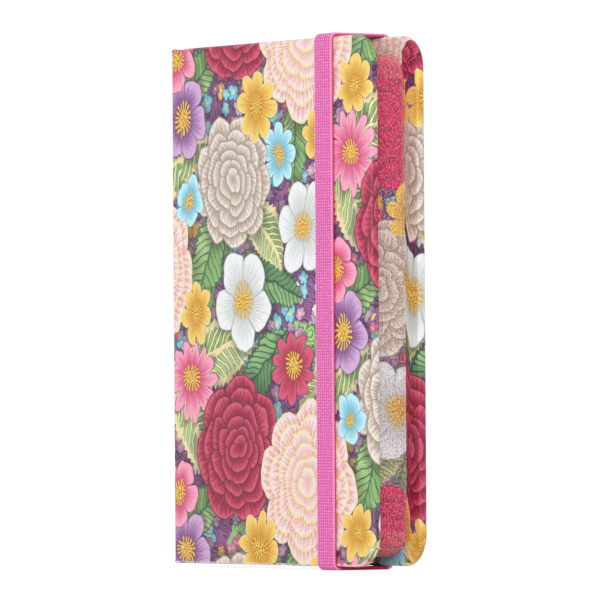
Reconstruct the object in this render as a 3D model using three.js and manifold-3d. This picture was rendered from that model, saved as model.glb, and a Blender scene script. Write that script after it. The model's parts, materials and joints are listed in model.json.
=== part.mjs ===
// A pocket notebook: printed paper over boards, sewn sections of grid paper, and an elastic closure band.
// Millimetres, +Z up. The book stands upright with its front cover facing -Y and its spine at -X.
// The origin is under the middle of the closed book, at the lowest face of the band.

import * as THREE from "three";
import { mergeVertices } from "three/addons/utils/BufferGeometryUtils.js";
import Module from "manifold-3d";

const wasm = await Module();
wasm.setup();

// Case: boards, and the printed paper that wraps them
const COVER_HEIGHT = 140;
const COVER_WIDTH = 95;
const CORNER_RADIUS = 8.5;
const BOARD_THICKNESS = 2;
const SPINE_BOARD_THICKNESS = 1.6;
const WRAP_THICKNESS = 0.2;
const GLUE_GAP = 0.05;
const EDGE_ROUNDING = 0.7;
const TURN_IN = 14;
const JOINT_WIDTH = 4;
const HINGE_CLEARANCE = 0.4;
const SPINE_END_CLEARANCE = 0.3;

// Book block: endpapers, loose leaves at both ends, and sewn sections
const HEAD_SQUARE = 3.5;
const FORE_SQUARE = 6;
const BLOCK_SAG = 1;
const PAGE_CORNER_RADIUS = 7.5;
const ENDPAPER_THICKNESS = 0.15;
const PASTE_GAP = 0.03;
const LEAF_THICKNESS = 0.12;
const LEAF_GAP = 0.06;
const LEAF_STAGGER = 0.25;
const FRONT_LEAVES = 4;
const BACK_LEAVES = 3;
const SECTIONS = 12;
const SECTION_THICKNESS = 0.82;
const SECTION_GAP = 0.03;

// Spine lining, sewing and end bands
const HOLLOW_GAP = 0.35;
const LINER_THICKNESS = 0.25;
const MULL_THICKNESS = 0.3;
const MULL_END_MARGIN = 12;
const THREAD_DIAMETER = 0.4;
const THREAD_SPACING = 24;
const THREADS = 5;
const THREAD_SIDES = 8;
const END_BAND_TAPE = 9;
const END_BAND_BEAD_WIDTH = 1.7;
const END_BAND_BEAD_HEIGHT = 1.1;
const END_BAND_GAP = 0.1;

// Elastic closure band
const BAND_WIDTH = 7.8;
const BAND_THICKNESS = 0.8;
const BAND_GAP = 0.2;
const BAND_EDGE_DISTANCE = 17;
const BAND_BEND_RADIUS = 1.2;
const BAND_SLOT_DISTANCE = 12;
const BAND_SLOT_CLEARANCE = 0.3;
const BAND_LEG_RADIUS = 0.15;
const BAND_ANCHOR_LENGTH = 10;
const BAND_ANCHOR_COVER = 0.1;

// Smoothness of curves
const CORNER_STEPS = 8;
const BEND_STEPS = 8;
const ROUNDING_STEPS = 2;

// How far a cutting solid reaches past what it cuts
const CUT_PAST = 2;

// Sizes worked out across the thickness, from the front cover to the back cover
const coverThickness = BOARD_THICKNESS + 2 * (WRAP_THICKNESS + GLUE_GAP);
const pastedownStack = PASTE_GAP + ENDPAPER_THICKNESS;
const flyleafPitch = LEAF_GAP + ENDPAPER_THICKNESS;
const leafPitch = LEAF_GAP + LEAF_THICKNESS;
const sectionPitch = SECTION_GAP + SECTION_THICKNESS;
const leafStack = (FRONT_LEAVES + BACK_LEAVES) * leafPitch;
const blockThickness = 2 * flyleafPitch + leafStack + SECTIONS * sectionPitch + LEAF_GAP;
const thickness = 2 * (coverThickness + pastedownStack) + blockThickness;
const frontFace = -thickness / 2;
const backFace = thickness / 2;
const blockFront = -blockThickness / 2;
const sectionsLow = blockFront + LEAF_GAP + flyleafPitch + FRONT_LEAVES * leafPitch;
const sectionsDepth = SECTIONS * sectionPitch - SECTION_GAP;

// Places across the width, from the spine to the fore-edge
const spineFace = -COVER_WIDTH / 2;
const foreEdge = COVER_WIDTH / 2;
const spineBoardOuter = spineFace + WRAP_THICKNESS + GLUE_GAP;
const spineBoardInner = spineBoardOuter + SPINE_BOARD_THICKNESS;
const boardStart = spineBoardInner + JOINT_WIDTH;
const linerStart = spineBoardInner + HOLLOW_GAP;
const mullStart = linerStart + LINER_THICKNESS + GLUE_GAP;
const threadStart = mullStart + MULL_THICKNESS + GLUE_GAP;
const foldLine = threadStart + THREAD_DIAMETER + GLUE_GAP;
const pageEdge = foreEdge - FORE_SQUARE;

// Places up the height
const coverBottom = BAND_THICKNESS + BAND_GAP;
const coverTop = coverBottom + COVER_HEIGHT;
const blockBottom = coverBottom + HEAD_SQUARE - BLOCK_SAG;
const blockTop = coverTop - HEAD_SQUARE - BLOCK_SAG;
const blockMiddle = (blockBottom + blockTop) / 2;

// Places of the band
const bandRight = foreEdge - BAND_EDGE_DISTANCE;
const bandLeft = bandRight - BAND_WIDTH;
const bandOffset = BAND_GAP + BAND_THICKNESS / 2;
const bandBend = BAND_BEND_RADIUS + BAND_THICKNESS / 2;

const paint = (color, roughness, metalness = 0) =>
  new THREE.MeshStandardMaterial({ color, roughness, metalness });

const finishes = {
  greyboard: paint(0x9c948a, 0.9),
  printedWrap: paint(0xc9a3a8, 0.45),
  endpaper: paint(0xf3ece0, 0.8),
  page: paint(0xf4f0e6, 0.85),
  mull: paint(0xe4ded0, 0.95),
  liner: paint(0xb59b78, 0.9),
  thread: paint(0xf1eee6, 0.8),
  endBand: paint(0xd6449c, 0.7),
  elastic: paint(0xe65db2, 0.85),
};

// Axes of an outline drawn across the cover (X, Z), and of one drawn across the book (Y, Z)
const acrossCover = new THREE.Matrix4().makeBasis(
  new THREE.Vector3(1, 0, 0),
  new THREE.Vector3(0, 0, 1),
  new THREE.Vector3(0, -1, 0),
);
const acrossBook = new THREE.Matrix4().makeBasis(
  new THREE.Vector3(0, 1, 0),
  new THREE.Vector3(0, 0, 1),
  new THREE.Vector3(1, 0, 0),
);

// Rectangle in the cover's plane, its fore-edge corners rounded
function pageOutline(xSpine, xFore, zLow, zHigh, radius) {
  const shape = new THREE.Shape();
  shape.moveTo(xSpine, zLow);
  shape.lineTo(xFore - radius, zLow);
  shape.absarc(xFore - radius, zLow + radius, radius, -Math.PI / 2, 0, false);
  shape.absarc(xFore - radius, zHigh - radius, radius, 0, Math.PI / 2, false);
  shape.lineTo(xSpine, zHigh);
  shape.closePath();
  return shape;
}

// Plate with the given outline in the cover's plane, from yLow towards +Y, its edges rounded
function plate(outline, yLow, depth, rounding = 0) {
  const geometry = new THREE.ExtrudeGeometry(outline, {
    depth: depth - 2 * rounding,
    curveSegments: CORNER_STEPS,
    bevelEnabled: rounding > 0,
    bevelThickness: rounding,
    bevelSize: rounding,
    bevelOffset: -rounding,
    bevelSegments: ROUNDING_STEPS,
  });
  geometry.applyMatrix4(acrossCover);
  geometry.translate(0, yLow + depth - rounding, 0);
  return geometry;
}

// Strip whose outline lies across the book (Y, Z), as wide in X as given
function strip(outline, xLow, width) {
  const geometry = new THREE.ExtrudeGeometry(outline, { depth: width, bevelEnabled: false });
  geometry.applyMatrix4(acrossBook);
  geometry.translate(xLow, 0, 0);
  return geometry;
}

function box(xLow, xHigh, yLow, yHigh, zLow, zHigh) {
  const geometry = new THREE.BoxGeometry(xHigh - xLow, yHigh - yLow, zHigh - zLow);
  geometry.translate((xLow + xHigh) / 2, (yLow + yHigh) / 2, (zLow + zHigh) / 2);
  return geometry;
}

// Closed geometry to solid, and solid back to geometry
function solid(geometry) {
  const bare = geometry.clone();
  bare.deleteAttribute("normal");
  bare.deleteAttribute("uv");
  const merged = mergeVertices(bare, 1e-4);
  return new wasm.Manifold(
    new wasm.Mesh({
      numProp: 3,
      vertProperties: merged.attributes.position.array,
      triVerts: new Uint32Array(merged.index.array),
    }),
  );
}

function geometryOf(manifold) {
  const mesh = manifold.getMesh();
  const geometry = new THREE.BufferGeometry();
  geometry.setAttribute("position", new THREE.BufferAttribute(mesh.vertProperties, 3));
  geometry.setIndex(new THREE.BufferAttribute(mesh.triVerts, 1));
  return geometry.toNonIndexed();
}

function cut(geometry, ...tools) {
  let left = solid(geometry);
  for (const tool of tools) left = left.subtract(solid(tool));
  return geometryOf(left);
}

// Outline of a strap of even thickness along corner points (y, z), each inner corner rounded by its radius
function strapOutline(corners, radii, strapThickness) {
  const centre = [];
  corners.forEach((corner, i) => {
    const before = corners[i - 1];
    const after = corners[i + 1];
    if (!before || !after) {
      const inward = after ? after.clone().sub(corner) : corner.clone().sub(before);
      centre.push({ at: corner, along: inward.normalize() });
      return;
    }
    const arrive = corner.clone().sub(before).normalize();
    const leave = after.clone().sub(corner).normalize();
    const radius = radii[i];
    const hub = corner.clone().addScaledVector(arrive, -radius).addScaledVector(leave, radius);
    for (let step = 0; step <= BEND_STEPS; step += 1) {
      const turn = (step / BEND_STEPS) * (Math.PI / 2);
      const along = arrive.clone().multiplyScalar(Math.cos(turn)).addScaledVector(leave, Math.sin(turn));
      const at = hub
        .clone()
        .addScaledVector(leave, -radius * Math.cos(turn))
        .addScaledVector(arrive, radius * Math.sin(turn));
      centre.push({ at, along });
    }
  });
  const side = (sign) =>
    centre.map(({ at, along }) =>
      at.clone().addScaledVector(new THREE.Vector2(-along.y, along.x), (sign * strapThickness) / 2),
    );
  const points = [...side(-1), ...side(1).reverse()];
  return new THREE.Shape(points);
}

const notebook = new THREE.Group();
notebook.name = "grid_notebook";

function addPiece(group, name, geometry, material) {
  const mesh = new THREE.Mesh(geometry, material);
  mesh.name = name;
  group.add(mesh);
  return mesh;
}

// A cover's layers are named here for the front cover, and the back cover is their mirror image.
const layers = {
  boardOuter: WRAP_THICKNESS + GLUE_GAP,
  turnInOuter: WRAP_THICKNESS + 2 * GLUE_GAP + BOARD_THICKNESS,
  pastedownOuter: coverThickness + PASTE_GAP,
};

// Lowest y of a layer that starts at a depth below a cover's outer face
function layerLow(side, depthBelow, layerThickness) {
  return side < 0 ? frontFace + depthBelow : backFace - depthBelow - layerThickness;
}

// The cut-outs that the band's tails need in the back board and its wrap
function tailCuts() {
  const cuts = [];
  const slotHalf = BAND_THICKNESS / 2 + BAND_SLOT_CLEARANCE;
  const left = bandLeft - BAND_SLOT_CLEARANCE;
  const right = bandRight + BAND_SLOT_CLEARANCE;
  const inner = backFace - layers.turnInOuter;
  const recess = BAND_ANCHOR_COVER + BAND_THICKNESS + BAND_SLOT_CLEARANCE;
  for (const end of [-1, 1]) {
    const edge = end < 0 ? coverBottom : coverTop;
    const slot = edge - end * BAND_SLOT_DISTANCE;
    const anchorEnd = slot - end * (BAND_ANCHOR_LENGTH + BAND_SLOT_CLEARANCE);
    cuts.push(box(left, right, inner, backFace + CUT_PAST, slot - slotHalf, slot + slotHalf));
    const low = Math.min(slot + end * slotHalf, anchorEnd);
    const high = Math.max(slot + end * slotHalf, anchorEnd);
    cuts.push(box(left, right, inner - GLUE_GAP / 2, inner + GLUE_GAP + recess, low, high));
  }
  return cuts;
}

function boardOutline(grow = 0) {
  const inset = WRAP_THICKNESS + GLUE_GAP - grow;
  return pageOutline(
    boardStart - grow,
    foreEdge - inset,
    coverBottom + inset,
    coverTop - inset,
    CORNER_RADIUS - inset,
  );
}

function buildCover(side, name) {
  const group = new THREE.Group();
  const boardLow = layerLow(side, layers.boardOuter, BOARD_THICKNESS);
  const wrapLow = layerLow(side, 0, coverThickness);
  const wrapStart = spineFace + HINGE_CLEARANCE;
  const innerRounding = EDGE_ROUNDING - WRAP_THICKNESS;

  let board = plate(boardOutline(), boardLow, BOARD_THICKNESS, innerRounding);
  const outer = pageOutline(wrapStart - CUT_PAST, foreEdge, coverBottom, coverTop, CORNER_RADIUS);
  const cavity = plate(
    boardOutline(GLUE_GAP),
    boardLow - GLUE_GAP,
    BOARD_THICKNESS + 2 * GLUE_GAP,
    innerRounding,
  );
  const skinInner = side * (thickness / 2 - WRAP_THICKNESS);
  const inside = side * (thickness / 2 - coverThickness - CUT_PAST);
  const [jointLow, jointHigh] = [skinInner, inside].sort((a, b) => a - b);
  const edges = [coverBottom - CUT_PAST, coverTop + CUT_PAST];
  const cutStart = wrapStart - 2 * CUT_PAST;
  const openJoint = box(cutStart, boardStart, jointLow, jointHigh, ...edges);
  const trim = box(
    cutStart,
    wrapStart,
    wrapLow - CUT_PAST,
    wrapLow + coverThickness + CUT_PAST,
    ...edges,
  );
  const turnInFace = side * (thickness / 2 - layers.turnInOuter + GLUE_GAP / 2);
  const [windowLow, windowHigh] = [turnInFace, inside].sort((a, b) => a - b);
  const window = box(
    wrapStart - CUT_PAST,
    foreEdge - TURN_IN,
    windowLow,
    windowHigh,
    coverBottom + TURN_IN,
    coverTop - TURN_IN,
  );
  let wrap = cut(plate(outer, wrapLow, coverThickness, EDGE_ROUNDING), cavity, openJoint, trim, window);
  if (side > 0) {
    board = cut(board, ...tailCuts());
    const slots = tailCuts().filter((tool, i) => i % 2 === 0);
    wrap = cut(wrap, ...slots);
  }
  const pastedown = plate(
    pageOutline(boardStart, pageEdge, blockBottom, blockTop, PAGE_CORNER_RADIUS),
    layerLow(side, layers.pastedownOuter, ENDPAPER_THICKNESS),
    ENDPAPER_THICKNESS,
  );
  addPiece(group, `${name}_board`, board, finishes.greyboard);
  addPiece(group, `${name}_cover_wrap`, wrap, finishes.printedWrap);
  addPiece(group, `${name}_pastedown`, pastedown, finishes.endpaper);
  return group;
}

// Spine board, and the wrap over it with its turn-ins at head and tail
function buildSpine() {
  const group = new THREE.Group();
  const yLow = frontFace + SPINE_END_CLEARANCE;
  const width = thickness - 2 * SPINE_END_CLEARANCE;
  const boardEnd = WRAP_THICKNESS + GLUE_GAP;
  const board = box(
    spineBoardOuter,
    spineBoardInner,
    yLow,
    yLow + width,
    coverBottom + boardEnd,
    coverTop - boardEnd,
  );
  const turnInStart = spineBoardInner + GLUE_GAP;
  const turnInEnd = turnInStart + WRAP_THICKNESS;
  const skin = spineFace + WRAP_THICKNESS;
  const outline = new THREE.Shape();
  outline.moveTo(spineFace, coverBottom);
  outline.lineTo(turnInEnd, coverBottom);
  outline.lineTo(turnInEnd, coverBottom + TURN_IN);
  outline.lineTo(turnInStart, coverBottom + TURN_IN);
  outline.lineTo(turnInStart, coverBottom + WRAP_THICKNESS);
  outline.lineTo(skin, coverBottom + WRAP_THICKNESS);
  outline.lineTo(skin, coverTop - WRAP_THICKNESS);
  outline.lineTo(turnInStart, coverTop - WRAP_THICKNESS);
  outline.lineTo(turnInStart, coverTop - TURN_IN);
  outline.lineTo(turnInEnd, coverTop - TURN_IN);
  outline.lineTo(turnInEnd, coverTop);
  outline.lineTo(spineFace, coverTop);
  outline.closePath();
  addPiece(group, "spine_board", board, finishes.greyboard);
  addPiece(group, "spine_wrap", plate(outline, yLow, width), finishes.printedWrap);
  return group;
}

// A folded section: leaves nested in one fold, rounded at the fold and square at the fore-edge
function sectionGeometry() {
  const half = SECTION_THICKNESS / 2;
  const across = new THREE.Shape();
  across.moveTo(foldLine + half, -half);
  across.lineTo(pageEdge + CUT_PAST, -half);
  across.lineTo(pageEdge + CUT_PAST, half);
  across.lineTo(foldLine + half, half);
  across.absarc(foldLine + half, 0, half, Math.PI / 2, (3 * Math.PI) / 2, false);
  const folded = new THREE.ExtrudeGeometry(across, {
    depth: blockTop - blockBottom,
    curveSegments: CORNER_STEPS,
    bevelEnabled: false,
  });
  folded.translate(0, 0, blockBottom);
  const trim = plate(
    pageOutline(foldLine - CUT_PAST, pageEdge, blockBottom, blockTop, PAGE_CORNER_RADIUS),
    -SECTION_THICKNESS,
    2 * SECTION_THICKNESS,
  );
  return geometryOf(solid(folded).intersect(solid(trim)));
}

// One flat leaf. Its fold stands as many staggers from the flyleaf's fold as the leaf stands from the flyleaf.
function leafGeometry(yLow, leafThickness, place) {
  const fold = foldLine + place * LEAF_STAGGER;
  const outline = pageOutline(fold, pageEdge, blockBottom, blockTop, PAGE_CORNER_RADIUS);
  return plate(outline, yLow, leafThickness);
}

function buildBlock() {
  const group = new THREE.Group();
  let y = blockFront + LEAF_GAP;
  addPiece(group, "front_flyleaf", leafGeometry(y, ENDPAPER_THICKNESS, 0), finishes.endpaper);
  y += flyleafPitch;
  for (let i = 1; i <= FRONT_LEAVES; i += 1) {
    addPiece(group, `front_leaf_${i}`, leafGeometry(y, LEAF_THICKNESS, i), finishes.page);
    y += leafPitch;
  }
  const section = sectionGeometry();
  for (let i = 0; i < SECTIONS; i += 1) {
    const number = String(i + 1).padStart(2, "0");
    const mesh = addPiece(group, `section_${number}`, section, finishes.page);
    mesh.position.y = sectionsLow + i * sectionPitch + SECTION_THICKNESS / 2;
  }
  y = sectionsLow + SECTIONS * sectionPitch;
  for (let i = 1; i <= BACK_LEAVES; i += 1) {
    const place = BACK_LEAVES + 1 - i;
    addPiece(group, `back_leaf_${i}`, leafGeometry(y, LEAF_THICKNESS, place), finishes.page);
    y += leafPitch;
  }
  addPiece(group, "back_flyleaf", leafGeometry(y, ENDPAPER_THICKNESS, 0), finishes.endpaper);
  return group;
}

// End band: a rounded bead over the folds' ends, on a tape that lies behind the folds
function endBandOutline(end) {
  const edge = end < 0 ? blockBottom : blockTop;
  const tapeEnd = edge - end * END_BAND_TAPE;
  const beadBase = edge + end * END_BAND_GAP;
  const outline = new THREE.Shape();
  outline.moveTo(mullStart, tapeEnd);
  outline.lineTo(mullStart, beadBase);
  for (let step = 1; step <= BEND_STEPS; step += 1) {
    const turn = Math.PI - (step / BEND_STEPS) * Math.PI;
    const x = mullStart + (END_BAND_BEAD_WIDTH / 2) * (1 + Math.cos(turn));
    outline.lineTo(x, beadBase + end * END_BAND_BEAD_HEIGHT * Math.sin(turn));
  }
  outline.lineTo(mullStart + MULL_THICKNESS, beadBase);
  outline.lineTo(mullStart + MULL_THICKNESS, tapeEnd);
  outline.closePath();
  return outline;
}

function buildLining() {
  const group = new THREE.Group();
  const sectionsHigh = sectionsLow + sectionsDepth;
  const liner = box(
    linerStart,
    linerStart + LINER_THICKNESS,
    sectionsLow,
    sectionsHigh,
    blockBottom,
    blockTop,
  );
  const mull = box(
    mullStart,
    mullStart + MULL_THICKNESS,
    sectionsLow,
    sectionsHigh,
    blockBottom + MULL_END_MARGIN,
    blockTop - MULL_END_MARGIN,
  );
  addPiece(group, "spine_liner", liner, finishes.liner);
  addPiece(group, "spine_mull", mull, finishes.mull);
  addPiece(group, "headband", plate(endBandOutline(1), sectionsLow, sectionsDepth), finishes.endBand);
  addPiece(group, "tailband", plate(endBandOutline(-1), sectionsLow, sectionsDepth), finishes.endBand);
  for (let i = 1; i <= THREADS; i += 1) {
    const radius = THREAD_DIAMETER / 2;
    const thread = new THREE.CylinderGeometry(radius, radius, sectionsDepth, THREAD_SIDES);
    const mesh = addPiece(group, `sewing_thread_${i}`, thread, finishes.thread);
    const height = blockMiddle + (i - (THREADS + 1) / 2) * THREAD_SPACING;
    mesh.position.set(threadStart + radius, (sectionsLow + sectionsHigh) / 2, height);
  }
  return group;
}

// The band: the run down the front with both front bends, a return over each edge, and the tails at the back
function buildBand() {
  const group = new THREE.Group();
  const front = frontFace - bandOffset;
  const back = backFace + bandOffset;
  const top = coverTop + bandOffset;
  const bottom = coverBottom - bandOffset;
  const bends = [0, bandBend, bandBend, 0];
  const frontCorners = [
    new THREE.Vector2(front + bandBend, bottom),
    new THREE.Vector2(front, bottom),
    new THREE.Vector2(front, top),
    new THREE.Vector2(front + bandBend, top),
  ];
  const frontRun = strip(strapOutline(frontCorners, bends, BAND_THICKNESS), bandLeft, BAND_WIDTH);
  addPiece(group, "elastic_front_run", frontRun, finishes.elastic);
  for (const end of [-1, 1]) {
    const name = end < 0 ? "bottom" : "top";
    const level = end < 0 ? bottom : top;
    const edge = end < 0 ? coverBottom : coverTop;
    const flat = box(
      bandLeft,
      bandRight,
      front + bandBend,
      back - bandBend,
      level - BAND_THICKNESS / 2,
      level + BAND_THICKNESS / 2,
    );
    addPiece(group, `elastic_${name}_return`, flat, finishes.elastic);
    const slot = edge - end * BAND_SLOT_DISTANCE;
    const anchorDepth = backFace - layers.turnInOuter + GLUE_GAP + BAND_ANCHOR_COVER + BAND_THICKNESS / 2;
    const leg = BAND_LEG_RADIUS + BAND_THICKNESS / 2;
    const tailCorners = [
      new THREE.Vector2(back - bandBend + BAND_SLOT_CLEARANCE, level),
      new THREE.Vector2(back, level),
      new THREE.Vector2(back, slot),
      new THREE.Vector2(anchorDepth, slot),
      new THREE.Vector2(anchorDepth, slot - end * BAND_ANCHOR_LENGTH),
    ];
    const radii = [0, bandBend - BAND_SLOT_CLEARANCE, leg, leg, 0];
    const tail = strip(strapOutline(tailCorners, radii, BAND_THICKNESS), bandLeft, BAND_WIDTH);
    addPiece(group, `elastic_${name}_tail`, tail, finishes.elastic);
  }
  return group;
}

notebook.add(buildCover(-1, "front"));
notebook.add(buildCover(1, "back"));
notebook.add(buildSpine());
notebook.add(buildBlock());
notebook.add(buildLining());
notebook.add(buildBand());

export default notebook;
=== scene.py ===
"""A pocket notebook with printed paper covers, printed page edges and an elastic closure band.

The book stands upright, its front cover facing -Y and its spine at -X. Sizes in this file are in metres,
and places come from the frame. Each sub-assembly is a class that models its pieces and dresses them.
"""

import json
import logging
import math
import random
from collections.abc import Callable, Iterator
from contextlib import contextmanager
from dataclasses import dataclass
from enum import Enum

import bmesh
import bpy
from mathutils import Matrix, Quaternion, Vector


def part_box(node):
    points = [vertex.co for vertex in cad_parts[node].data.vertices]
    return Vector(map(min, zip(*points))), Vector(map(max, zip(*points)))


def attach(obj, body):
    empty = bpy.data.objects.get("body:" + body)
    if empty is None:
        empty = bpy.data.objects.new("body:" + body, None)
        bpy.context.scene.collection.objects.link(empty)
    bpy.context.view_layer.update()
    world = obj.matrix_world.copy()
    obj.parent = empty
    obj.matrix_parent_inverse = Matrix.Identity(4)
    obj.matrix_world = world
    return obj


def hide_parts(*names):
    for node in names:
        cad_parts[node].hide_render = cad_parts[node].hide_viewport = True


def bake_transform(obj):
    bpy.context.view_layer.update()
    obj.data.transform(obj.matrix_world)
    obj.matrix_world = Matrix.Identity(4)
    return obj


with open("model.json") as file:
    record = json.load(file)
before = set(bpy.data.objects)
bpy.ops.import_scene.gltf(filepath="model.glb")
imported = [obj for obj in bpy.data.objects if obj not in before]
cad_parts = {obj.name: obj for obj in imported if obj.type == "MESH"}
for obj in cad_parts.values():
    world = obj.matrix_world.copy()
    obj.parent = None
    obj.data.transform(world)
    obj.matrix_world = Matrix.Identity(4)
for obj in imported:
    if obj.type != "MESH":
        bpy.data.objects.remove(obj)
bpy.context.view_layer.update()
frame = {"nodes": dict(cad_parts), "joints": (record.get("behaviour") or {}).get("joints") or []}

MM = 0.001
TOUCH = 0.02 * MM
MERGE = TOUCH / 4
PATTERN_MAP = "pattern"
FOLD_MAP = "fold"
PATTERN_UNIT = 0.1
log = logging.getLogger("notebook")

Colour = tuple[float, float, float, float]
MapRule = Callable[[Vector, Vector], tuple[float, float]]


def ink(code: str) -> Colour:
    """Turns a colour written as six hex digits into Blender's linear colour.

    Args:
        code: the colour, such as "E65DB2".

    Returns:
        Linear red, green, blue and alpha.
    """
    parts = [int(code[i : i + 2], 16) / 255 for i in (0, 2, 4)]
    linear = [p / 12.92 if p <= 0.04045 else ((p + 0.055) / 1.055) ** 2.4 for p in parts]
    return (*linear, 1.0)


# Modelling


class Part(Enum):
    """What an edit-mode selection is made of."""

    VERTICES = "VERT"
    EDGES = "EDGE"
    FACES = "FACE"


class Side(Enum):
    """Which cover a piece belongs to, as the sign of its Y."""

    FRONT = -1
    BACK = 1


def clear_selection() -> None:
    """Deselects every object."""
    bpy.ops.object.select_all(action="DESELECT")


def middle(edge: bmesh.types.BMEdge) -> Vector:
    """Returns the middle of an edge."""
    return (edge.verts[0].co + edge.verts[1].co) / 2


def runs_along(edge: bmesh.types.BMEdge, axis: int) -> bool:
    """Tells whether an edge runs along X (0), Y (1) or Z (2)."""
    span = edge.verts[1].co - edge.verts[0].co
    return abs(span[axis]) > 0.999 * span.length


def lies_at(edge: bmesh.types.BMEdge, axis: int, place: float) -> bool:
    """Tells whether both ends of an edge lie at a place on one axis."""
    return all(abs(vertex.co[axis] - place) < TOUCH for vertex in edge.verts)


class Piece:
    """One mesh while it is modelled with Blender's own tools."""

    def __init__(self, name: str) -> None:
        """Takes the active object and names it.

        Args:
            name: the piece's name.
        """
        self.object = bpy.context.active_object
        self.object.name = name
        self.object.data.name = name

    @classmethod
    def cube(cls, name: str, low: Vector, high: Vector) -> "Piece":
        """Starts a piece as a block between two corners.

        Args:
            name: the piece's name.
            low: lowest corner.
            high: highest corner.

        Returns:
            The new piece.
        """
        clear_selection()
        bpy.ops.mesh.primitive_cube_add(size=1, location=(low + high) / 2, scale=high - low)
        return cls(name).settled()

    @classmethod
    def sheet(cls, name: str, low: Vector, high: Vector) -> "Piece":
        """Starts a piece as an upright rectangle facing -Y.

        Args:
            name: the piece's name.
            low: lowest corner.
            high: highest corner, with the same Y.

        Returns:
            The new piece.
        """
        clear_selection()
        bpy.ops.mesh.primitive_plane_add(size=1, location=(low + high) / 2, rotation=(math.pi / 2, 0, 0))
        bpy.context.active_object.scale = (high.x - low.x, high.z - low.z, 1)
        return cls(name).settled()

    def settled(self) -> "Piece":
        """Puts the object's place, turn and size into its mesh.

        Returns:
            This piece.
        """
        self.make_active()
        bpy.ops.object.transform_apply(location=True, rotation=True, scale=True)
        return self

    def make_active(self) -> None:
        """Selects this piece alone."""
        clear_selection()
        self.object.select_set(True)
        bpy.context.view_layer.objects.active = self.object

    @contextmanager
    def editing(self) -> Iterator[None]:
        """Edit mode on this piece alone, for the length of a with block."""
        self.make_active()
        bpy.ops.object.mode_set(mode="EDIT")
        yield
        bpy.ops.object.mode_set(mode="OBJECT")

    def pick(self, part: Part, test: Callable[..., bool]) -> int:
        """Selects the elements that pass a test, in edit mode.

        Args:
            part: vertices, edges or faces.
            test: takes an element of the edit mesh.

        Returns:
            How many were selected.
        """
        bpy.ops.mesh.select_mode(type=part.value)
        bpy.ops.mesh.select_all(action="DESELECT")
        mesh = bmesh.from_edit_mesh(self.object.data)
        elements = {Part.VERTICES: mesh.verts, Part.EDGES: mesh.edges, Part.FACES: mesh.faces}[part]
        chosen = [element for element in elements if test(element)]
        for element in chosen:
            element.select_set(True)
        mesh.select_flush_mode()
        bmesh.update_edit_mesh(self.object.data)
        return len(chosen)

    def cut(self, test: Callable[..., bool], axis: int, *places: float) -> None:
        """Bisects faces square to an axis at each place.

        Args:
            test: picks the faces to cut.
            axis: 0, 1 or 2 for X, Y or Z.
            places: where the cuts lie on that axis.
        """
        for place in places:
            if self.pick(Part.FACES, test):
                point, normal = Vector(), Vector()
                point[axis], normal[axis] = place, 1
                bpy.ops.mesh.bisect(plane_co=point, plane_no=normal)

    def extrude(self, move: tuple[float, float, float]) -> None:
        """Extrudes what is selected.

        Args:
            move: how far, along X, Y and Z.
        """
        bpy.ops.mesh.extrude_region_move(TRANSFORM_OT_translate={"value": move})

    def remove_faces(self, test: Callable[..., bool]) -> None:
        """Deletes the faces that pass a test, in edit mode.

        Args:
            test: takes a face.
        """
        if self.pick(Part.FACES, test):
            bpy.ops.mesh.delete(type="FACE")

    def merge(self) -> None:
        """Merges the points that lie on each other, in edit mode."""
        bpy.ops.mesh.select_all(action="SELECT")
        bpy.ops.mesh.remove_doubles(threshold=MERGE)

    def face_outwards(self) -> None:
        """Turns every face outwards, in edit mode."""
        bpy.ops.mesh.select_all(action="SELECT")
        bpy.ops.mesh.normals_make_consistent(inside=False)

    def modify(self, kind: str, **settings: object) -> None:
        """Adds a modifier and applies it.

        Args:
            kind: Blender's name for it.
            settings: its values.
        """
        self.make_active()
        modifier = self.object.modifiers.new(kind.title(), kind)
        for key, value in settings.items():
            setattr(modifier, key, value)
        bpy.ops.object.modifier_apply(modifier=modifier.name)

    def thicken(self, thickness: float, offset: float = -1, inner_slot: int = 0) -> None:
        """Gives the sheet a wall.

        Args:
            thickness: the wall.
            offset: -1 grows it inwards, 0 both ways.
            inner_slot: how many material slots further the inner wall is.
        """
        self.modify("SOLIDIFY", thickness=thickness, offset=offset, material_offset=inner_slot)

    def smooth(self, degrees: float) -> None:
        """Shades smooth all edges that turn by less than an angle.

        Args:
            degrees: the angle.
        """
        self.make_active()
        bpy.ops.object.shade_smooth_by_angle(angle=math.radians(degrees))

    def lay_map(self, rule: MapRule, name: str = PATTERN_MAP) -> None:
        """Writes one of the piece's own maps, which its print or weave follows.

        Args:
            rule: takes a corner's place and its face's normal, and gives its place on the flat pattern.
            name: the map's name.
        """
        mesh = self.object.data
        layer = mesh.uv_layers.get(name) or mesh.uv_layers.new(name=name)
        for face in mesh.polygons:
            for loop in face.loop_indices:
                place = mesh.vertices[mesh.loops[loop].vertex_index].co
                across, up = rule(place, face.normal)
                layer.data[loop].uv = (across / PATTERN_UNIT, up / PATTERN_UNIT)

    def copy(self, name: str) -> "Piece":
        """Copies the piece with a mesh of its own.

        Args:
            name: the copy's name.

        Returns:
            The copy.
        """
        self.make_active()
        bpy.ops.object.duplicate(linked=False)
        return Piece(name)

    def dress(self, *materials: bpy.types.Material) -> None:
        """Gives the piece its materials, in the order of its slots.

        Args:
            materials: the materials.
        """
        self.object.data.materials.clear()
        for material in materials:
            self.object.data.materials.append(material)


def join(pieces: list[Piece], name: str) -> Piece:
    """Joins several meshes into one piece.

    Args:
        pieces: the meshes.
        name: the joined piece's name.

    Returns:
        The joined piece.
    """
    clear_selection()
    for piece in pieces:
        piece.object.select_set(True)
    bpy.context.view_layer.objects.active = pieces[0].object
    bpy.ops.object.join()
    return Piece(name)


# Shader maths


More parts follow.
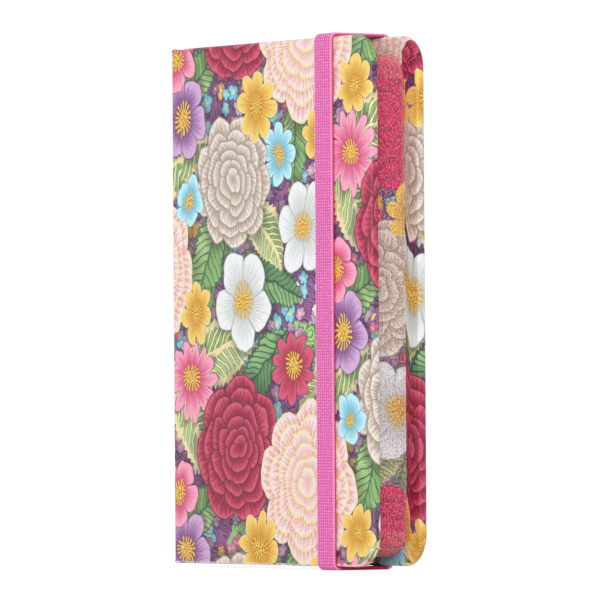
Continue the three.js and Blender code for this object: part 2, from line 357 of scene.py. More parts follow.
class Value:
    """A number, colour or vector that changes over a surface."""

    def __init__(self, shader: "Shader", socket: bpy.types.NodeSocket) -> None:
        """Wraps an output socket.

        Args:
            shader: the material that it belongs to.
            socket: the output.
        """
        self.shader = shader
        self.socket = socket

    def __add__(self, other: "Value | float") -> "Value":
        """Returns the sum."""
        return self.shader.math("ADD", self, other)

    __radd__ = __add__

    def __sub__(self, other: "Value | float") -> "Value":
        """Returns the difference."""
        return self.shader.math("SUBTRACT", self, other)

    def __rsub__(self, other: float) -> "Value":
        """Returns the difference from a number."""
        return self.shader.math("SUBTRACT", other, self)

    def __mul__(self, other: "Value | float") -> "Value":
        """Returns the product."""
        return self.shader.math("MULTIPLY", self, other)

    __rmul__ = __mul__

    def __truediv__(self, other: "Value | float") -> "Value":
        """Returns the quotient."""
        return self.shader.math("DIVIDE", self, other)

    def __lt__(self, other: "Value | float") -> "Value":
        """Returns 1 where the value is lower, and 0 elsewhere."""
        return self.shader.math("LESS_THAN", self, other)

    def __gt__(self, other: "Value | float") -> "Value":
        """Returns 1 where the value is higher, and 0 elsewhere."""
        return self.shader.math("GREATER_THAN", self, other)


Source = Value | float | tuple


class Shader:
    """One material, written as expressions on values."""

    MIX_SOCKETS = {"FLOAT": (2, 3, 0), "VECTOR": (4, 5, 1), "RGBA": (6, 7, 2)}

    def __init__(self, name: str, roughness: float = 0.6, **settings: float) -> None:
        """Starts the material with its surface shader.

        Args:
            name: the material's name.
            roughness: the surface's roughness, where nothing varies it.
            settings: other sockets of the surface shader, with underscores for spaces.
        """
        self.material = bpy.data.materials.new(name)
        self.material.use_nodes = True
        self.tree = self.material.node_tree
        self.surface = self.tree.nodes["Principled BSDF"]
        self.surface.inputs["Roughness"].default_value = roughness
        for socket, value in settings.items():
            self.surface.inputs[socket.replace("_", " ")].default_value = value

    def node(
        self,
        kind: str,
        settings: dict[str, object] | None = None,
        inputs: dict[str | int, Source] | None = None,
        output: str | int = 0,
    ) -> Value:
        """Adds a node of any type.

        Args:
            kind: the node's type, without its ShaderNode prefix.
            settings: its properties, a ramp's stops as (place, colour) pairs, and whether it is stepped.
            inputs: values or links, by the socket's name or number.
            output: the socket to return.

        Returns:
            The chosen output.
        """
        node = self.tree.nodes.new("ShaderNode" + kind)
        for key, value in (settings or {}).items():
            if key == "stops":
                self.set_stops(node.color_ramp, value)
            elif key == "stepped":
                node.color_ramp.interpolation = "CONSTANT"
            else:
                setattr(node, key, value)
        for key, value in (inputs or {}).items():
            if isinstance(value, Value):
                self.tree.links.new(value.socket, node.inputs[key])
            else:
                node.inputs[key].default_value = value
        return Value(self, node.outputs[output])

    @staticmethod
    def set_stops(ramp: bpy.types.ColorRamp, stops: list[tuple[float, Colour]]) -> None:
        """Writes a ramp's stops.

        Args:
            ramp: the colour ramp.
            stops: places and colours.
        """
        while len(ramp.elements) < len(stops):
            ramp.elements.new(0.5)
        for element, (place, colour) in zip(ramp.elements, stops):
            element.position = place
            element.color = colour

    def math(self, operation: str, *terms: Source) -> Value:
        """Adds a Math node on two or three terms."""
        return self.node("Math", {"operation": operation}, dict(enumerate(terms)))

    def vector(self, operation: str, *terms: Source, output: int = 0) -> Value:
        """Adds a Vector Math node. Output 1 is its number, as of LENGTH."""
        return self.node("VectorMath", {"operation": operation}, dict(enumerate(terms)), output)

    def mix(self, low: Source, high: Source, share: Source, kind: str = "FLOAT", how: str = "MIX") -> Value:
        """Mixes two numbers, vectors or colours.

        Args:
            low: what shows at share 0.
            high: what shows at share 1.
            share: the mixing share.
            kind: FLOAT, VECTOR or RGBA.
            how: the blend type, for colours.

        Returns:
            The mix.
        """
        first, second, result = self.MIX_SOCKETS[kind]
        settings = {"data_type": kind, "blend_type": how} if kind == "RGBA" else {"data_type": kind}
        return self.node("Mix", settings, {0: share, first: low, second: high}, result)

    def paint(self, under: Source, over: Source, share: Source, how: str = "MIX") -> Value:
        """Lays one colour over another."""
        return self.mix(under, over, share, "RGBA", how)

    def tones(self, inks: tuple[str, str], share: Source) -> Value:
        """Mixes two inks, from the first at share 0 to the second at share 1."""
        return self.paint(ink(inks[0]), ink(inks[1]), share)

    def ease(self, value: Value, low: float, high: float) -> Value:
        """Runs smoothly from 0 at low to 1 at high."""
        inputs = {"Value": value, "From Min": low, "From Max": high}
        return self.node("MapRange", {"interpolation_type": "SMOOTHSTEP"}, inputs)

    def grain(self, place: Value, scale: float, detail: float = 2, output: int = 0) -> Value:
        """Adds soft noise; scale counts its waves in one unit of place."""
        inputs = {"Vector": place, "Scale": scale, "Detail": detail}
        return self.node("TexNoise", {"noise_dimensions": "2D"}, inputs, output)

    def pattern_place(self, unit: float, name: str = PATTERN_MAP) -> Value:
        """Returns the place on one of the piece's maps, counted in a unit given in metres."""
        raw = self.node("UVMap", {"uv_map": name})
        return self.vector("MULTIPLY", raw, (PATTERN_UNIT / unit,) * 3)

    def object_place(self, unit: float) -> Value:
        """Returns the place in the object, counted in a unit given in metres."""
        raw = self.node("TexCoord", output="Object")
        return self.vector("MULTIPLY", raw, (1 / unit,) * 3)

    def split(self, place: Value) -> tuple[Value, Value, Value]:
        """Splits a vector into its three numbers."""
        node = self.node("SeparateXYZ", inputs={0: place}).socket.node
        return tuple(Value(self, socket) for socket in node.outputs)

    def lead(self, value: Value, socket: str) -> None:
        """Leads a value into the surface shader."""
        self.tree.links.new(value.socket, self.surface.inputs[socket])

    def emboss(self, height: Value, strength: float, distance: float) -> None:
        """Raises the surface by a height map, in metres at height 1."""
        inputs = {"Height": height, "Strength": strength, "Distance": distance}
        self.lead(self.node("Bump", inputs=inputs), "Normal")


# The printed pattern


class Tint(Enum):
    """Inks of a flower: its shaded heart, its petals, their tips, and how much gold foil outlines it."""

    PLUM = ("4A2350", "8F5A97", "CBA3CF", 0)
    ROSE = ("A01F4A", "DD5583", "F0A0BC", 0)
    WHITE = ("98A39C", "D6DAD9", "E5E7E8", 0)
    SKY = ("2B7C9E", "7FCDE2", "B9E4EE", 0)
    BEIGE = ("9A8674", "D6CAC0", "E4DBD4", 0)
    CRIMSON = ("6A1230", "B93350", "D05574", 0)
    BLUSH = ("D78E93", "E9D2D3", "EBDDDE", 1)
    AMBER = ("A4621A", "DDA338", "EBC968", 1)

    @property
    def place(self) -> float:
        """Returns the tint's place on a ramp that holds all tints."""
        return (list(Tint).index(self) + 0.5) / len(Tint)


class Greens(Enum):
    """Inks of a leaf: its shaded half, its lit half, its line work, and whether foil draws the lines."""

    GILT = ("86B468", "BBD693", "EBDDB0", 1)
    FOREST = ("5F8F5E", "94BF80", "2C4F3D", 0)
    SPRING = ("86B366", "B4D48E", "41644B", 0)

    @property
    def place(self) -> float:
        """Returns the greens' place on a ramp that holds all of them."""
        return (list(Greens).index(self) + 0.5) / len(Greens)


@dataclass(frozen=True)
class Bloom:
    """One flower of the print: its place and size in the repeat, in millimetres, and its make."""

    across: float
    up: float
    radius: float
    petals: int
    notch: float
    turn: float
    tint: Tint
    layered: bool = False


@dataclass(frozen=True)
class Frond:
    """One leaf of the print: its place, length and turn in the repeat, and its inks."""

    across: float
    up: float
    length: float
    turn: float
    greens: Greens
    width: float = 0.2


REPEAT = (76.0, 118.0)
HALF_DROP = REPEAT[1] / 2 / REPEAT[0]

BLOOMS = (
    Bloom(34, 110, 12, 6, 0.34, 0.4, Tint.PLUM),
    Bloom(38, 39, 11.5, 13, 0.5, 0.1, Tint.ROSE),
    Bloom(63, 60, 13.5, 5, 0.3, 0.9, Tint.WHITE),
    Bloom(4, 40, 8.5, 8, 0.45, 0.2, Tint.SKY),
    Bloom(58, 92, 18.5, 9, 0.16, 0.3, Tint.BEIGE, True),
    Bloom(60, 20, 20, 7, 0.15, 1.1, Tint.CRIMSON, True),
    Bloom(17, 70, 22, 8, 0.16, 0.6, Tint.BLUSH, True),
    Bloom(31, 8, 9, 5, 0.36, 0.5, Tint.ROSE),
    Bloom(40, 57, 8, 7, 0.42, 0.8, Tint.AMBER),
    Bloom(16, 20, 13, 6, 0.3, 0.3, Tint.WHITE),
    Bloom(10, 101, 10, 10, 0.5, 1.3, Tint.CRIMSON),
    Bloom(37, 87, 7, 5, 0.36, 0.0, Tint.SKY),
    Bloom(22, 44, 7, 6, 0.4, 0.7, Tint.AMBER),
    Bloom(70, 112, 9.5, 8, 0.45, 0.6, Tint.AMBER),
)

FRONDS = (
    Frond(40, 26, 40, 0.95, Greens.GILT, 0.22),
    Frond(0, 6, 32, 0.3, Greens.FOREST),
    Frond(46, 72, 36, 2.0, Greens.SPRING),
    Frond(30, 98, 36, 2.7, Greens.GILT, 0.22),
    Frond(72, 42, 32, 2.4, Greens.FOREST),
    Frond(50, 46, 38, -0.2, Greens.GILT, 0.22),
    Frond(12, 44, 30, 1.6, Greens.SPRING),
    Frond(72, 80, 30, 0.9, Greens.GILT, 0.22),
    Frond(40, 2, 32, -0.6, Greens.SPRING),
)


class BotanicalPrint:
    """The printed flower pattern: a repeat of blooms over leaves over a ground of small blossoms.

    RINGS holds the radius, petals and turn of each inner ring of a layered flower, as shares of its size.
    TOOTH and VEIN are shares of a leaf's length. STREWN holds how many small blossoms stand in a millimetre,
    their petals, and the share of places that stay empty.
    """

    RINGS = ((0.83, 8, 0.6), (0.66, 7, 0.0), (0.5, 6, 0.9), (0.35, 5, 0.3), (0.2, 3, 0.8))
    RING_NOTCH = 0.17
    TOOTH = 0.028
    VEIN = 0.036
    STROKES = 62
    STREWN = ((0.15, 4, 0.2), (0.22, 5, 0.45))
    PLUM = ("864A83", "AA70A7")
    MOSS = ("97BF78", "B6D792")
    GROUND_LINES = ("47204A", "4C6B50")
    BLOSSOMS = (
        (0.0, "CDA3CB"),
        (0.26, "A468A0"),
        (0.46, "BC8CBB"),
        (0.58, "7FD0E4"),
        (0.7, "E3B04C"),
        (0.84, "E8789F"),
        (0.94, "ECEAE6"),
    )
    BLOSSOM_LINE = "4A1F4C"
    BLOSSOM_HEART = "F0D56A"
    BLOSSOM_SHADOW = "2C1A30"
    LEAF_HATCH = "34563C"
    LEAF_DASHES = "3F6248"
    LEAF_SHADOW = "1E2A22"
    BLOOM_SHADOW = "1E1426"
    STAMEN_SHADOW = "8C5A1C"
    STAMENS = "E9C24A"
    DISC = "B9791E"
    POLLEN = "F3DC74"

    def __init__(self, shader: Shader, place: Value) -> None:
        """Draws the pattern.

        Args:
            shader: the material to draw in.
            place: the place on the sheet, in millimetres.
        """
        self.shader = shader
        wander = shader.grain(place, 0.09, 2, 1)
        drift = shader.vector("SUBTRACT", wander, (0.5, 0.5, 0.5))
        self.place = shader.vector("MULTIPLY_ADD", drift, (4.5, 4.5, 0), place)
        across, up, _ = shader.split(self.place)
        dropped = shader.math("MULTIPLY_ADD", across, -HALF_DROP, up)
        self.sheared = shader.node("CombineXYZ", inputs={0: across, 1: dropped, 2: 0.0})
        self.fine = shader.grain(place, 0.8, 3)
        leaves, leaf_foil = self.draw_fronds(self.draw_ground())
        self.colour, self.foil = self.draw_blooms(leaves, leaf_foil)

    def local(self, across: float, up: float) -> tuple[Value, Value, Value]:
        """Returns the place measured from a motif's middle, in a repeat that drops by half each column.

        Args:
            across: the motif's place across the repeat.
            up: its place up the repeat.

        Returns:
            The local place, and its two numbers.
        """
        s = self.shader
        offset = s.vector("SUBTRACT", self.sheared, (across, up - across * HALF_DROP, 0))
        half = (REPEAT[0] / 2, REPEAT[1] / 2, 1)
        x, dropped, _ = s.split(s.vector("WRAP", offset, half, tuple(-size for size in half)))
        y = s.math("MULTIPLY_ADD", x, HALF_DROP, dropped)
        return s.node("CombineXYZ", inputs={0: x, 1: y, 2: 0.0}), x, y

    def scallop(self, angle: Value, petals: float, turn: float) -> Value:
        """Returns a wave round a flower: 1 in the middle of each petal, 0 between two.

        Args:
            angle: the angle round the flower.
            petals: how many petals.
            turn: how far the flower is turned.

        Returns:
            The wave.
        """
        half_turns = self.shader.math("MULTIPLY_ADD", angle, petals / 2, turn)
        wave = self.shader.math("ABSOLUTE", self.shader.math("COSINE", half_turns))
        return self.shader.math("SQRT", wave)

    def lookup(self, inks: type[Enum], column: int, place: Value) -> Value:
        """Looks up one column of inks.

        Args:
            inks: Tint or Greens.
            column: which ink of each row.
            place: the row's place on the ramp.

        Returns:
            The ink, or the foil share as a grey.
        """
        stops = []
        for number, row in enumerate(inks):
            entry = row.value[column]
            colour = ink(entry) if isinstance(entry, str) else (entry, entry, entry, 1.0)
            stops.append((number / len(inks), colour))
        return self.shader.node("ValToRGB", {"stops": stops, "stepped": True}, {0: place})

    def draw_ground(self) -> Value:
        """Draws the ground: plum and leaf green with engraved lines, strewn with small blossoms.

        Returns:
            The ground's colour.
        """
        s = self.shader
        green = s.ease(s.grain(self.place, 0.045, 2), 0.53, 0.56)
        swirl = s.math("PINGPONG", s.grain(self.place, 0.14, 1) * 26, 1.0)
        plum = s.tones(self.PLUM, self.fine)
        moss = s.tones(self.MOSS, self.fine)
        ground = s.paint(plum, moss, green)
        line = s.tones(self.GROUND_LINES, green)
        ground = s.paint(ground, line, s.ease(swirl, 0.42, 0.22) * 0.85)
        for density, petals, empty in self.STREWN:
            ground = self.strew_blossoms(ground, density, petals, empty)
        return ground

    def strew_blossoms(self, ground: Value, density: float, petals: int, empty: float) -> Value:
        """Strews small blossoms over the ground.

        Args:
            ground: the colour below.
            density: how many blossoms stand in one millimetre.
            petals: how many petals each has.
            empty: the share of places that stay empty.

        Returns:
            The new colour.
        """
        s = self.shader
        cell = {"Vector": self.place, "Scale": density, "Randomness": 0.7}
        node = s.node("TexVoronoi", {"voronoi_dimensions": "2D"}, cell).socket.node
        local = s.vector("SUBTRACT", self.place, Value(s, node.outputs["Position"]))
        hue, lot, spin = s.split(Value(s, node.outputs["Color"]))
        x, y, _ = s.split(local)
        wave = self.scallop(s.math("ARCTAN2", y, x) + spin * 3, petals, 0.0)
        reach = s.vector("LENGTH", local, output=1) * density / (0.2 + 0.24 * wave)
        stops = [(start, ink(code)) for start, code in self.BLOSSOMS]
        petal = s.node("ValToRGB", {"stops": stops, "stepped": True}, {0: hue})
        line = ink(self.BLOSSOM_LINE)
        petal = s.paint(petal, line, s.ease(wave, 0.45, 0.2) * 0.6)
        petal = s.paint(petal, line, s.ease(reach, 0.8, 0.92) * 0.75)
        petal = s.paint(petal, ink(self.BLOSSOM_HEART), reach < 0.26)
        there = lot > empty
        shaded = s.paint(ground, ink(self.BLOSSOM_SHADOW), s.ease(reach, 1.3, 1.0) * there * 0.5)
        return s.paint(shaded, petal, (reach < 1) * there)

    def draw_fronds(self, ground: Value) -> tuple[Value, Value]:
        """Draws the leaves over the ground.

        Args:
            ground: the colour below.

        Returns:
            The colour and the foil's mask.
        """
        s = self.shader
        shape, row, any_leaf, nearest = (0.0, 0.0, 1.0), Greens.FOREST.place, 0.0, 3.0
        for frond in FRONDS:
            place, _, _ = self.local(frond.across, frond.up)
            turned = {"Vector": place, "Rotation": (0, 0, frond.turn), "Scale": (1 / frond.length,) * 3}
            along, across, _ = s.split(s.node("Mapping", inputs=turned))
            belly = s.math("COSINE", along * math.pi) * frond.width
            half = s.math("PINGPONG", along, self.TOOTH) + belly
            reach = s.math("ABSOLUTE", across) / s.math("MAXIMUM", half, 0.001)
            inside = (reach < 1) * (s.math("ABSOLUTE", along) < 0.49)
            packed = s.node("CombineXYZ", inputs={0: along, 1: across, 2: reach})
            shape = s.mix(shape, packed, inside, "VECTOR")
            row = s.mix(row, frond.greens.place, inside)
            nearest = s.math("MINIMUM", reach + s.math("ABSOLUTE", along) * 1.5, nearest)
            any_leaf = s.math("MAXIMUM", inside, any_leaf)
        along, across, reach = s.split(shape)
        shade, light, line_ink = (self.lookup(Greens, column, row) for column in range(3))
        foiled = self.lookup(Greens, 3, row)
        side = s.math("ABSOLUTE", across)
        slant = along - side * 0.9
        vein = s.math("PINGPONG", slant, self.VEIN) * (1 / self.VEIN)
        leaf = s.paint(light, shade, s.ease(across, -0.02, 0.02) * 0.8)
        leaf = s.paint(leaf, shade, s.ease(vein, 0.4, 0.85) * 0.7)
        hatch = s.math("SINE", slant * 380) - reach * 1.5 + 0.5
        leaf = s.paint(leaf, ink(self.LEAF_HATCH), s.ease(hatch, 0.0, 0.3) * 0.55)
        dash = s.ease(vein, 0.4, 0.5) * s.ease(vein, 0.66, 0.6) * s.ease(self.fine, 0.36, 0.46)
        leaf = s.paint(leaf, ink(self.LEAF_DASHES), dash * foiled)
        heft = foiled * 0.12
        line = s.math("MAXIMUM", s.ease(vein + heft, 0.78, 0.88), s.ease(side - heft * 0.06, 0.014, 0.008))
        line = s.math("MAXIMUM", line, s.ease(reach + heft * 0.6, 0.84, 0.9))
        leaf = s.paint(leaf, line_ink, line * 0.9)
        shadow = s.ease(nearest, 2.1, 1.5) * 0.3
        ground = s.paint(ground, ink(self.LEAF_SHADOW), shadow)
        return s.paint(ground, leaf, any_leaf), line * foiled * any_leaf

    def draw_blooms(self, under: Value, under_foil: Value) -> tuple[Value, Value]:
        """Draws the flowers over the leaves.

        Args:
            under: the colour below.
            under_foil: the foil's mask below.

        Returns:
            The colour and the foil's mask.
        """
        s = self.shader
        shape, make, nearest, any_bloom = (1.0, 0.0, 1.0), (0.0, 0.0, 0.0), 2.0, 0.0
        for bloom in BLOOMS:
            local, x, y = self.local(bloom.across, bloom.up)
            angle = s.math("ARCTAN2", y, x)
            distance = s.vector("LENGTH", local, output=1) * (1 / bloom.radius)
            wave = self.scallop(angle, bloom.petals, bloom.turn)
            edge = s.math("MULTIPLY_ADD", wave, bloom.notch, 1 - bloom.notch)
            reach = distance / edge
            inside = reach < 1
            packed = s.node("CombineXYZ", inputs={0: distance, 1: angle, 2: edge})
            shape = s.mix(shape, packed, inside, "VECTOR")
            kind = {0: wave, 1: bloom.tint.place, 2: float(bloom.layered)}
            make = s.mix(make, s.node("CombineXYZ", inputs=kind), inside, "VECTOR")
            nearest = s.math("MINIMUM", reach, nearest)
            any_bloom = s.math("MAXIMUM", inside, any_bloom)
        distance, angle, edge = s.split(shape)
        wave, row, layered = s.split(make)
        heart, petal, tip = (self.lookup(Tint, column, row) for column in range(3))
        foiled = self.lookup(Tint, 3, row)
        high, low, lobe = self.find_ring(distance, angle, edge, wave, layered)
        band = (distance - low) / (high - low + 0.0001)
        ripple = s.math("MULTIPLY_ADD", self.fine, 5.0, angle * self.STROKES)
        stroke = s.ease(s.math("SINE", ripple) - band * 2.1 + 0.75, 0.0, 0.25)
        veil = s.ease(s.math("SINE", ripple * 0.5) - band * 0.8 - 0.1, 0.0, 0.3)
        flower = s.paint(petal, tip, s.ease(band, 0.3, 0.9))
        flower = s.paint(flower, heart, s.ease(band, 0.5, 0.0) * 0.55)
        flower = s.paint(flower, heart, s.math("MAXIMUM", stroke, veil * 0.5) * 0.55)
        flower = s.paint(flower, heart, s.ease(lobe, 0.5, 0.15) * 0.7)
        rim = high - distance
        outline = s.ease(rim, 0.03, 0.014)
        flower = s.paint(flower, heart, outline * (1 - foiled) * 0.9)
        flower = self.draw_stamens(flower, distance, angle, 1 - layered)
        shadow = s.ease(nearest, 1.3, 1.0) * (1 - any_bloom)
        under = s.paint(under, ink(self.BLOOM_SHADOW), shadow * 0.55)
        hearted = s.ease(band - self.fine * 0.25, 0.2, 0.14) * (1 - stroke) * layered
        gilt = s.math("MAXIMUM", s.ease(rim, 0.036, 0.026), hearted)
        foil = s.mix(under_foil * (1 - shadow), gilt * foiled, any_bloom)
        return s.paint(under, flower, any_bloom), foil

    def find_ring(
        self, distance: Value, angle: Value, edge: Value, wave: Value, layered: Value
    ) -> tuple[Value, Value, Value]:
        """Finds which ring of petals shows at a place of a layered flower.

        Args:
            distance: how far out the place is.
            angle: the angle round the flower.
            edge: the flower's outline.
            wave: the outline's wave.
            layered: 1 on layered flowers.

        Returns:
            The ring's outer and inner edge, and its wave.
        """
        s = self.shader
        rings = [self.ring(angle, *sizes) for sizes in self.RINGS]
        high, low, lobe = edge, rings[0][0], wave
        for number, (outer, ring_wave) in enumerate(rings):
            inner = rings[number + 1][0] if number + 1 < len(rings) else 0.0
            within = (distance < outer) * layered
            high = s.mix(high, outer, within)
            low = s.mix(low, inner, within)
            lobe = s.mix(lobe, ring_wave, within)
        return high, low * layered, lobe

    def ring(self, angle: Value, radius: float, petals: int, turn: float) -> tuple[Value, Value]:
        """Returns the edge of one ring of petals, and the wave round it.

        Args:
            angle: the angle round the flower.
            radius: the ring's radius, as a share of the flower's.
            petals: how many petals.
            turn: how far the ring is turned.

        Returns:
            The edge's radius and the wave.
        """
        wave = self.scallop(angle, petals, turn)
        notch = radius * self.RING_NOTCH
        return self.shader.math("MULTIPLY_ADD", wave, notch, radius - notch), wave

    def draw_stamens(self, flower: Value, distance: Value, angle: Value, single: Value) -> Value:
        """Draws the heart of an open flower: stamens round a dotted disc.

        Args:
            flower: the colour below.
            distance: how far out the place is.
            angle: the angle round the flower.
            single: 1 on open flowers.

        Returns:
            The new colour.
        """
        s = self.shader
        stamen = s.ease(s.math("SINE", angle * 17), 0.0, 0.5) * s.ease(distance, 0.36, 0.32)
        flower = s.paint(flower, ink(self.STAMEN_SHADOW), s.ease(distance, 0.4, 0.3) * single * 0.35)
        flower = s.paint(flower, ink(self.STAMENS), stamen * single * 0.95)
        disc = s.ease(distance, 0.21, 0.19) * single
        flower = s.paint(flower, ink(self.DISC), disc)
        dots = s.ease(s.grain(self.place, 2.2, 1), 0.45, 0.6)
        return s.paint(flower, ink(self.POLLEN), disc * dots * 0.9)


# Finishes


@dataclass(frozen=True)
class PrintedPaper:
    """Satin printed paper with gold foil lines, paler at its folds round the boards and most at the foot:
    wear and painted highlight.
    """

    roughness: float = 0.5
    foil_roughness: float = 0.3
    relief: float = 0.02 * MM
    gold: tuple[str, str] = ("E0C887", "F3E6BE")
    wear_and_highlight_ink: str = "F4F0EC"
    foot: tuple[float, float] = (-61.0, -67.0)

    def material(self) -> bpy.types.Material:
        """Sets the finish up.

        Returns:
            Its material.
        """
        shader = Shader("printed_cover_paper", self.roughness, Specular_IOR_Level=0.35)
        place = shader.pattern_place(MM)
        design = BotanicalPrint(shader, place)
        gold = shader.tones(self.gold, design.fine)
        colour = shader.paint(design.colour, gold, design.foil)
        past_fold, _, _ = shader.split(shader.pattern_place(MM, FOLD_MAP))
        _, up, _ = shader.split(place)
        fold = shader.ease(past_fold, 0.05, 0.5) * shader.ease(past_fold, 1.5, 0.8)
        # Paler paper along the folds, strongest at the foot: partly wear, partly a painted highlight where
        # the folded edge catches the light.
        wear_and_highlight_share = fold * shader.ease(design.fine, 0.25, 0.6) * (shader.ease(up, *self.foot) * 0.6 + 0.06)
        shader.lead(shader.paint(colour, ink(self.wear_and_highlight_ink), wear_and_highlight_share), "Base Color")
        shader.lead(shader.mix(self.roughness, self.foil_roughness, design.foil), "Roughness")
        shader.lead(design.foil * 0.45, "Metallic")
        height = shader.grain(place, 3.0, 2) + design.foil
        shader.emboss(height, 0.25, self.relief)
        return shader.material


@dataclass(frozen=True)
class PrintedEdge:
    """The cut page edges, printed like the cover in stronger inks, with the lines of the leaves.

    Of its pale and its deep inks, the first is for cool parts of the print, and the second for warm ones.
    """

    offset: tuple[float, float, float] = (60.0, -30.0, 0.0)
    roughness: float = 0.75
    relief: float = 0.08 * MM
    saturation: float = 1.25
    brightness: float = 1.3
    rose: tuple[str, str] = ("AE0840", "F21E62")
    pale: tuple[str, str] = ("F8E2DC", "FF8CB8")
    deep: tuple[str, str] = ("8A3A66", "84042E")
    smear: str = "D02452"

    def material(self) -> bpy.types.Material:
        """Sets the finish up.

        Returns:
            Its material.
        """
        shader = Shader("printed_page_edge", self.roughness, Specular_IOR_Level=0.2)
        place = shader.pattern_place(MM)
        design = BotanicalPrint(shader, shader.vector("ADD", place, self.offset))
        red, green, blue = shader.split(design.colour)
        warm = shader.ease(shader.math("MINIMUM", red - green * 2.2, red - blue), 0.04, 0.16)
        inks = {"Saturation": self.saturation, "Value": self.brightness, "Color": design.colour}
        colour = shader.node("HueSaturation", inputs=inks)
        rose = shader.tones(self.rose, shader.ease(red, 0.1, 0.5))
        colour = shader.paint(colour, rose, warm * 0.92)
        grit = shader.grain(place, 1.9, 1)
        leaves = shader.vector("MULTIPLY", place, (8.0, 0.22, 1))
        streak = shader.grain(leaves, 1.0, 3)
        across = shader.vector("MULTIPLY", place, (0.35, 4.0, 1))
        drag = shader.grain(across, 1.0, 2)
        pale, deep = shader.tones(self.pale, warm), shader.tones(self.deep, warm)
        colour = shader.paint(colour, deep, shader.ease(streak, 0.54, 0.74) * 0.4)
        colour = shader.paint(colour, pale, shader.ease(streak, 0.42, 0.3) * 0.2)
        colour = shader.paint(colour, pale, shader.ease(grit, 0.56, 0.64) * (warm * 0.15 + 0.5))
        colour = shader.paint(colour, deep, shader.ease(grit, 0.43, 0.36) * (warm * 0.15 + 0.5))
        colour = shader.paint(colour, ink(self.smear), shader.ease(drag, 0.6, 0.7) * 0.3)
        shader.lead(colour, "Base Color")
        shader.emboss(streak + grit * 0.4, 0.5, self.relief)
        return shader.material


@dataclass(frozen=True)
class GridPaper:
    """Writing paper with a printed grid, its fibres and its faint cloudiness."""

    name: str = "grid_paper"
    pitch: float = 5 * MM
    line: float = 0.2 * MM
    paper: str = "F6F2E7"
    cloud: str = "EDE7D8"
    rule: str = "A9B4BC"
    fibre: str = "D9CFBA"
    relief: float = 0.03 * MM

    def material(self) -> bpy.types.Material:
        """Sets the finish up.

        Returns:
            Its material.
        """
        shader = Shader(self.name, 0.82, Specular_IOR_Level=0.2)
        place = shader.pattern_place(MM)
        across, up, _ = shader.split(place)
        cloud = shader.grain(place, 0.25, 4)
        fibre = shader.grain(place, 4.0, 3)
        colour = shader.paint(ink(self.paper), ink(self.cloud), cloud)
        colour = shader.paint(colour, ink(self.fibre), shader.ease(fibre, 0.62, 0.8) * 0.35)
        if self.line:
            half_pitch, half_line = self.pitch / MM / 2, self.line / MM / 2
            lines = [shader.math("PINGPONG", value, half_pitch) for value in (across, up)]
            drawn = shader.ease(shader.math("MINIMUM", *lines), half_line * 1.3, half_line * 0.7)
            colour = shader.paint(colour, ink(self.rule), drawn * 0.8)
        shader.lead(colour, "Base Color")
        shader.emboss(fibre, 0.4, self.relief)
        return shader.material


@dataclass(frozen=True)
class Webbing:
    """Woven elastic: lengthwise ribs of pale stitches on a finely woven ground."""

    width: float
    ribs: int
    name: str = "elastic_webbing"
    base: str = "DA4AA2"
    light: str = "FFB4E0"
    dark: str = "B02A84"
    stitch: float = 0.76 * MM
    warp_pitch: float = 0.5 * MM
    pale_edge: float = 0.45 * MM
    relief: float = 0.12 * MM

    def material(self) -> bpy.types.Material:
        """Sets the finish up.

        Returns:
            Its material.
        """
        shader = Shader(self.name, 0.75, Specular_IOR_Level=0.2, Sheen_Weight=0.2)
        place = shader.pattern_place(MM)
        across, along, _ = shader.split(place)
        half_width = self.width / MM / 2
        pitch = 2 * half_width / self.ribs
        half_stitch = self.stitch / MM / 2
        lane = shader.math("PINGPONG", across, pitch / 2) * (2 / pitch)
        on_rib = shader.ease(lane, 0.45, 0.8)
        uneven = shader.grain(place, 0.9, 1)
        stitch = shader.math("PINGPONG", along + uneven * 0.5, half_stitch) * (1 / half_stitch)
        worn = shader.ease(uneven, 0.4, 0.6) * 0.5 + 0.4
        warps = across * (MM / self.warp_pitch)
        column = shader.math("FLOOR", warps)
        staggered = shader.math("MULTIPLY_ADD", column, half_stitch, along)
        weft = shader.math("PINGPONG", staggered, half_stitch) * (1 / half_stitch)
        warp = shader.math("PINGPONG", warps, 0.5) * 2
        knot = shader.ease(weft, 0.2, 0.7) * shader.ease(warp, 0.1, 0.6)
        fuzz = shader.grain(place, 5.0, 3)
        colour = shader.paint(ink(self.base), ink(self.dark), (1 - knot) * 0.45)
        colour = shader.paint(colour, ink(self.light), knot * 0.25)
        colour = shader.paint(colour, ink(self.light), on_rib * 0.12)
        colour = shader.paint(colour, ink(self.dark), on_rib * shader.ease(stitch, 0.45, 0.2) * 0.35)
        bead = on_rib * shader.ease(stitch, 0.35, 0.75) * worn
        colour = shader.paint(colour, ink(self.light), bead * 0.95)
        side = shader.math("ABSOLUTE", across) - (half_width - self.pale_edge / MM)
        colour = shader.paint(colour, ink(self.light), shader.ease(side, 0.0, 0.35) * 0.45)
        colour = shader.paint(colour, ink(self.light), shader.ease(fuzz, 0.6, 0.8) * 0.25)
        shader.lead(colour, "Base Color")
        shader.emboss(bead + knot * 0.5 + fuzz * 0.2, 0.7, self.relief)
        return shader.material


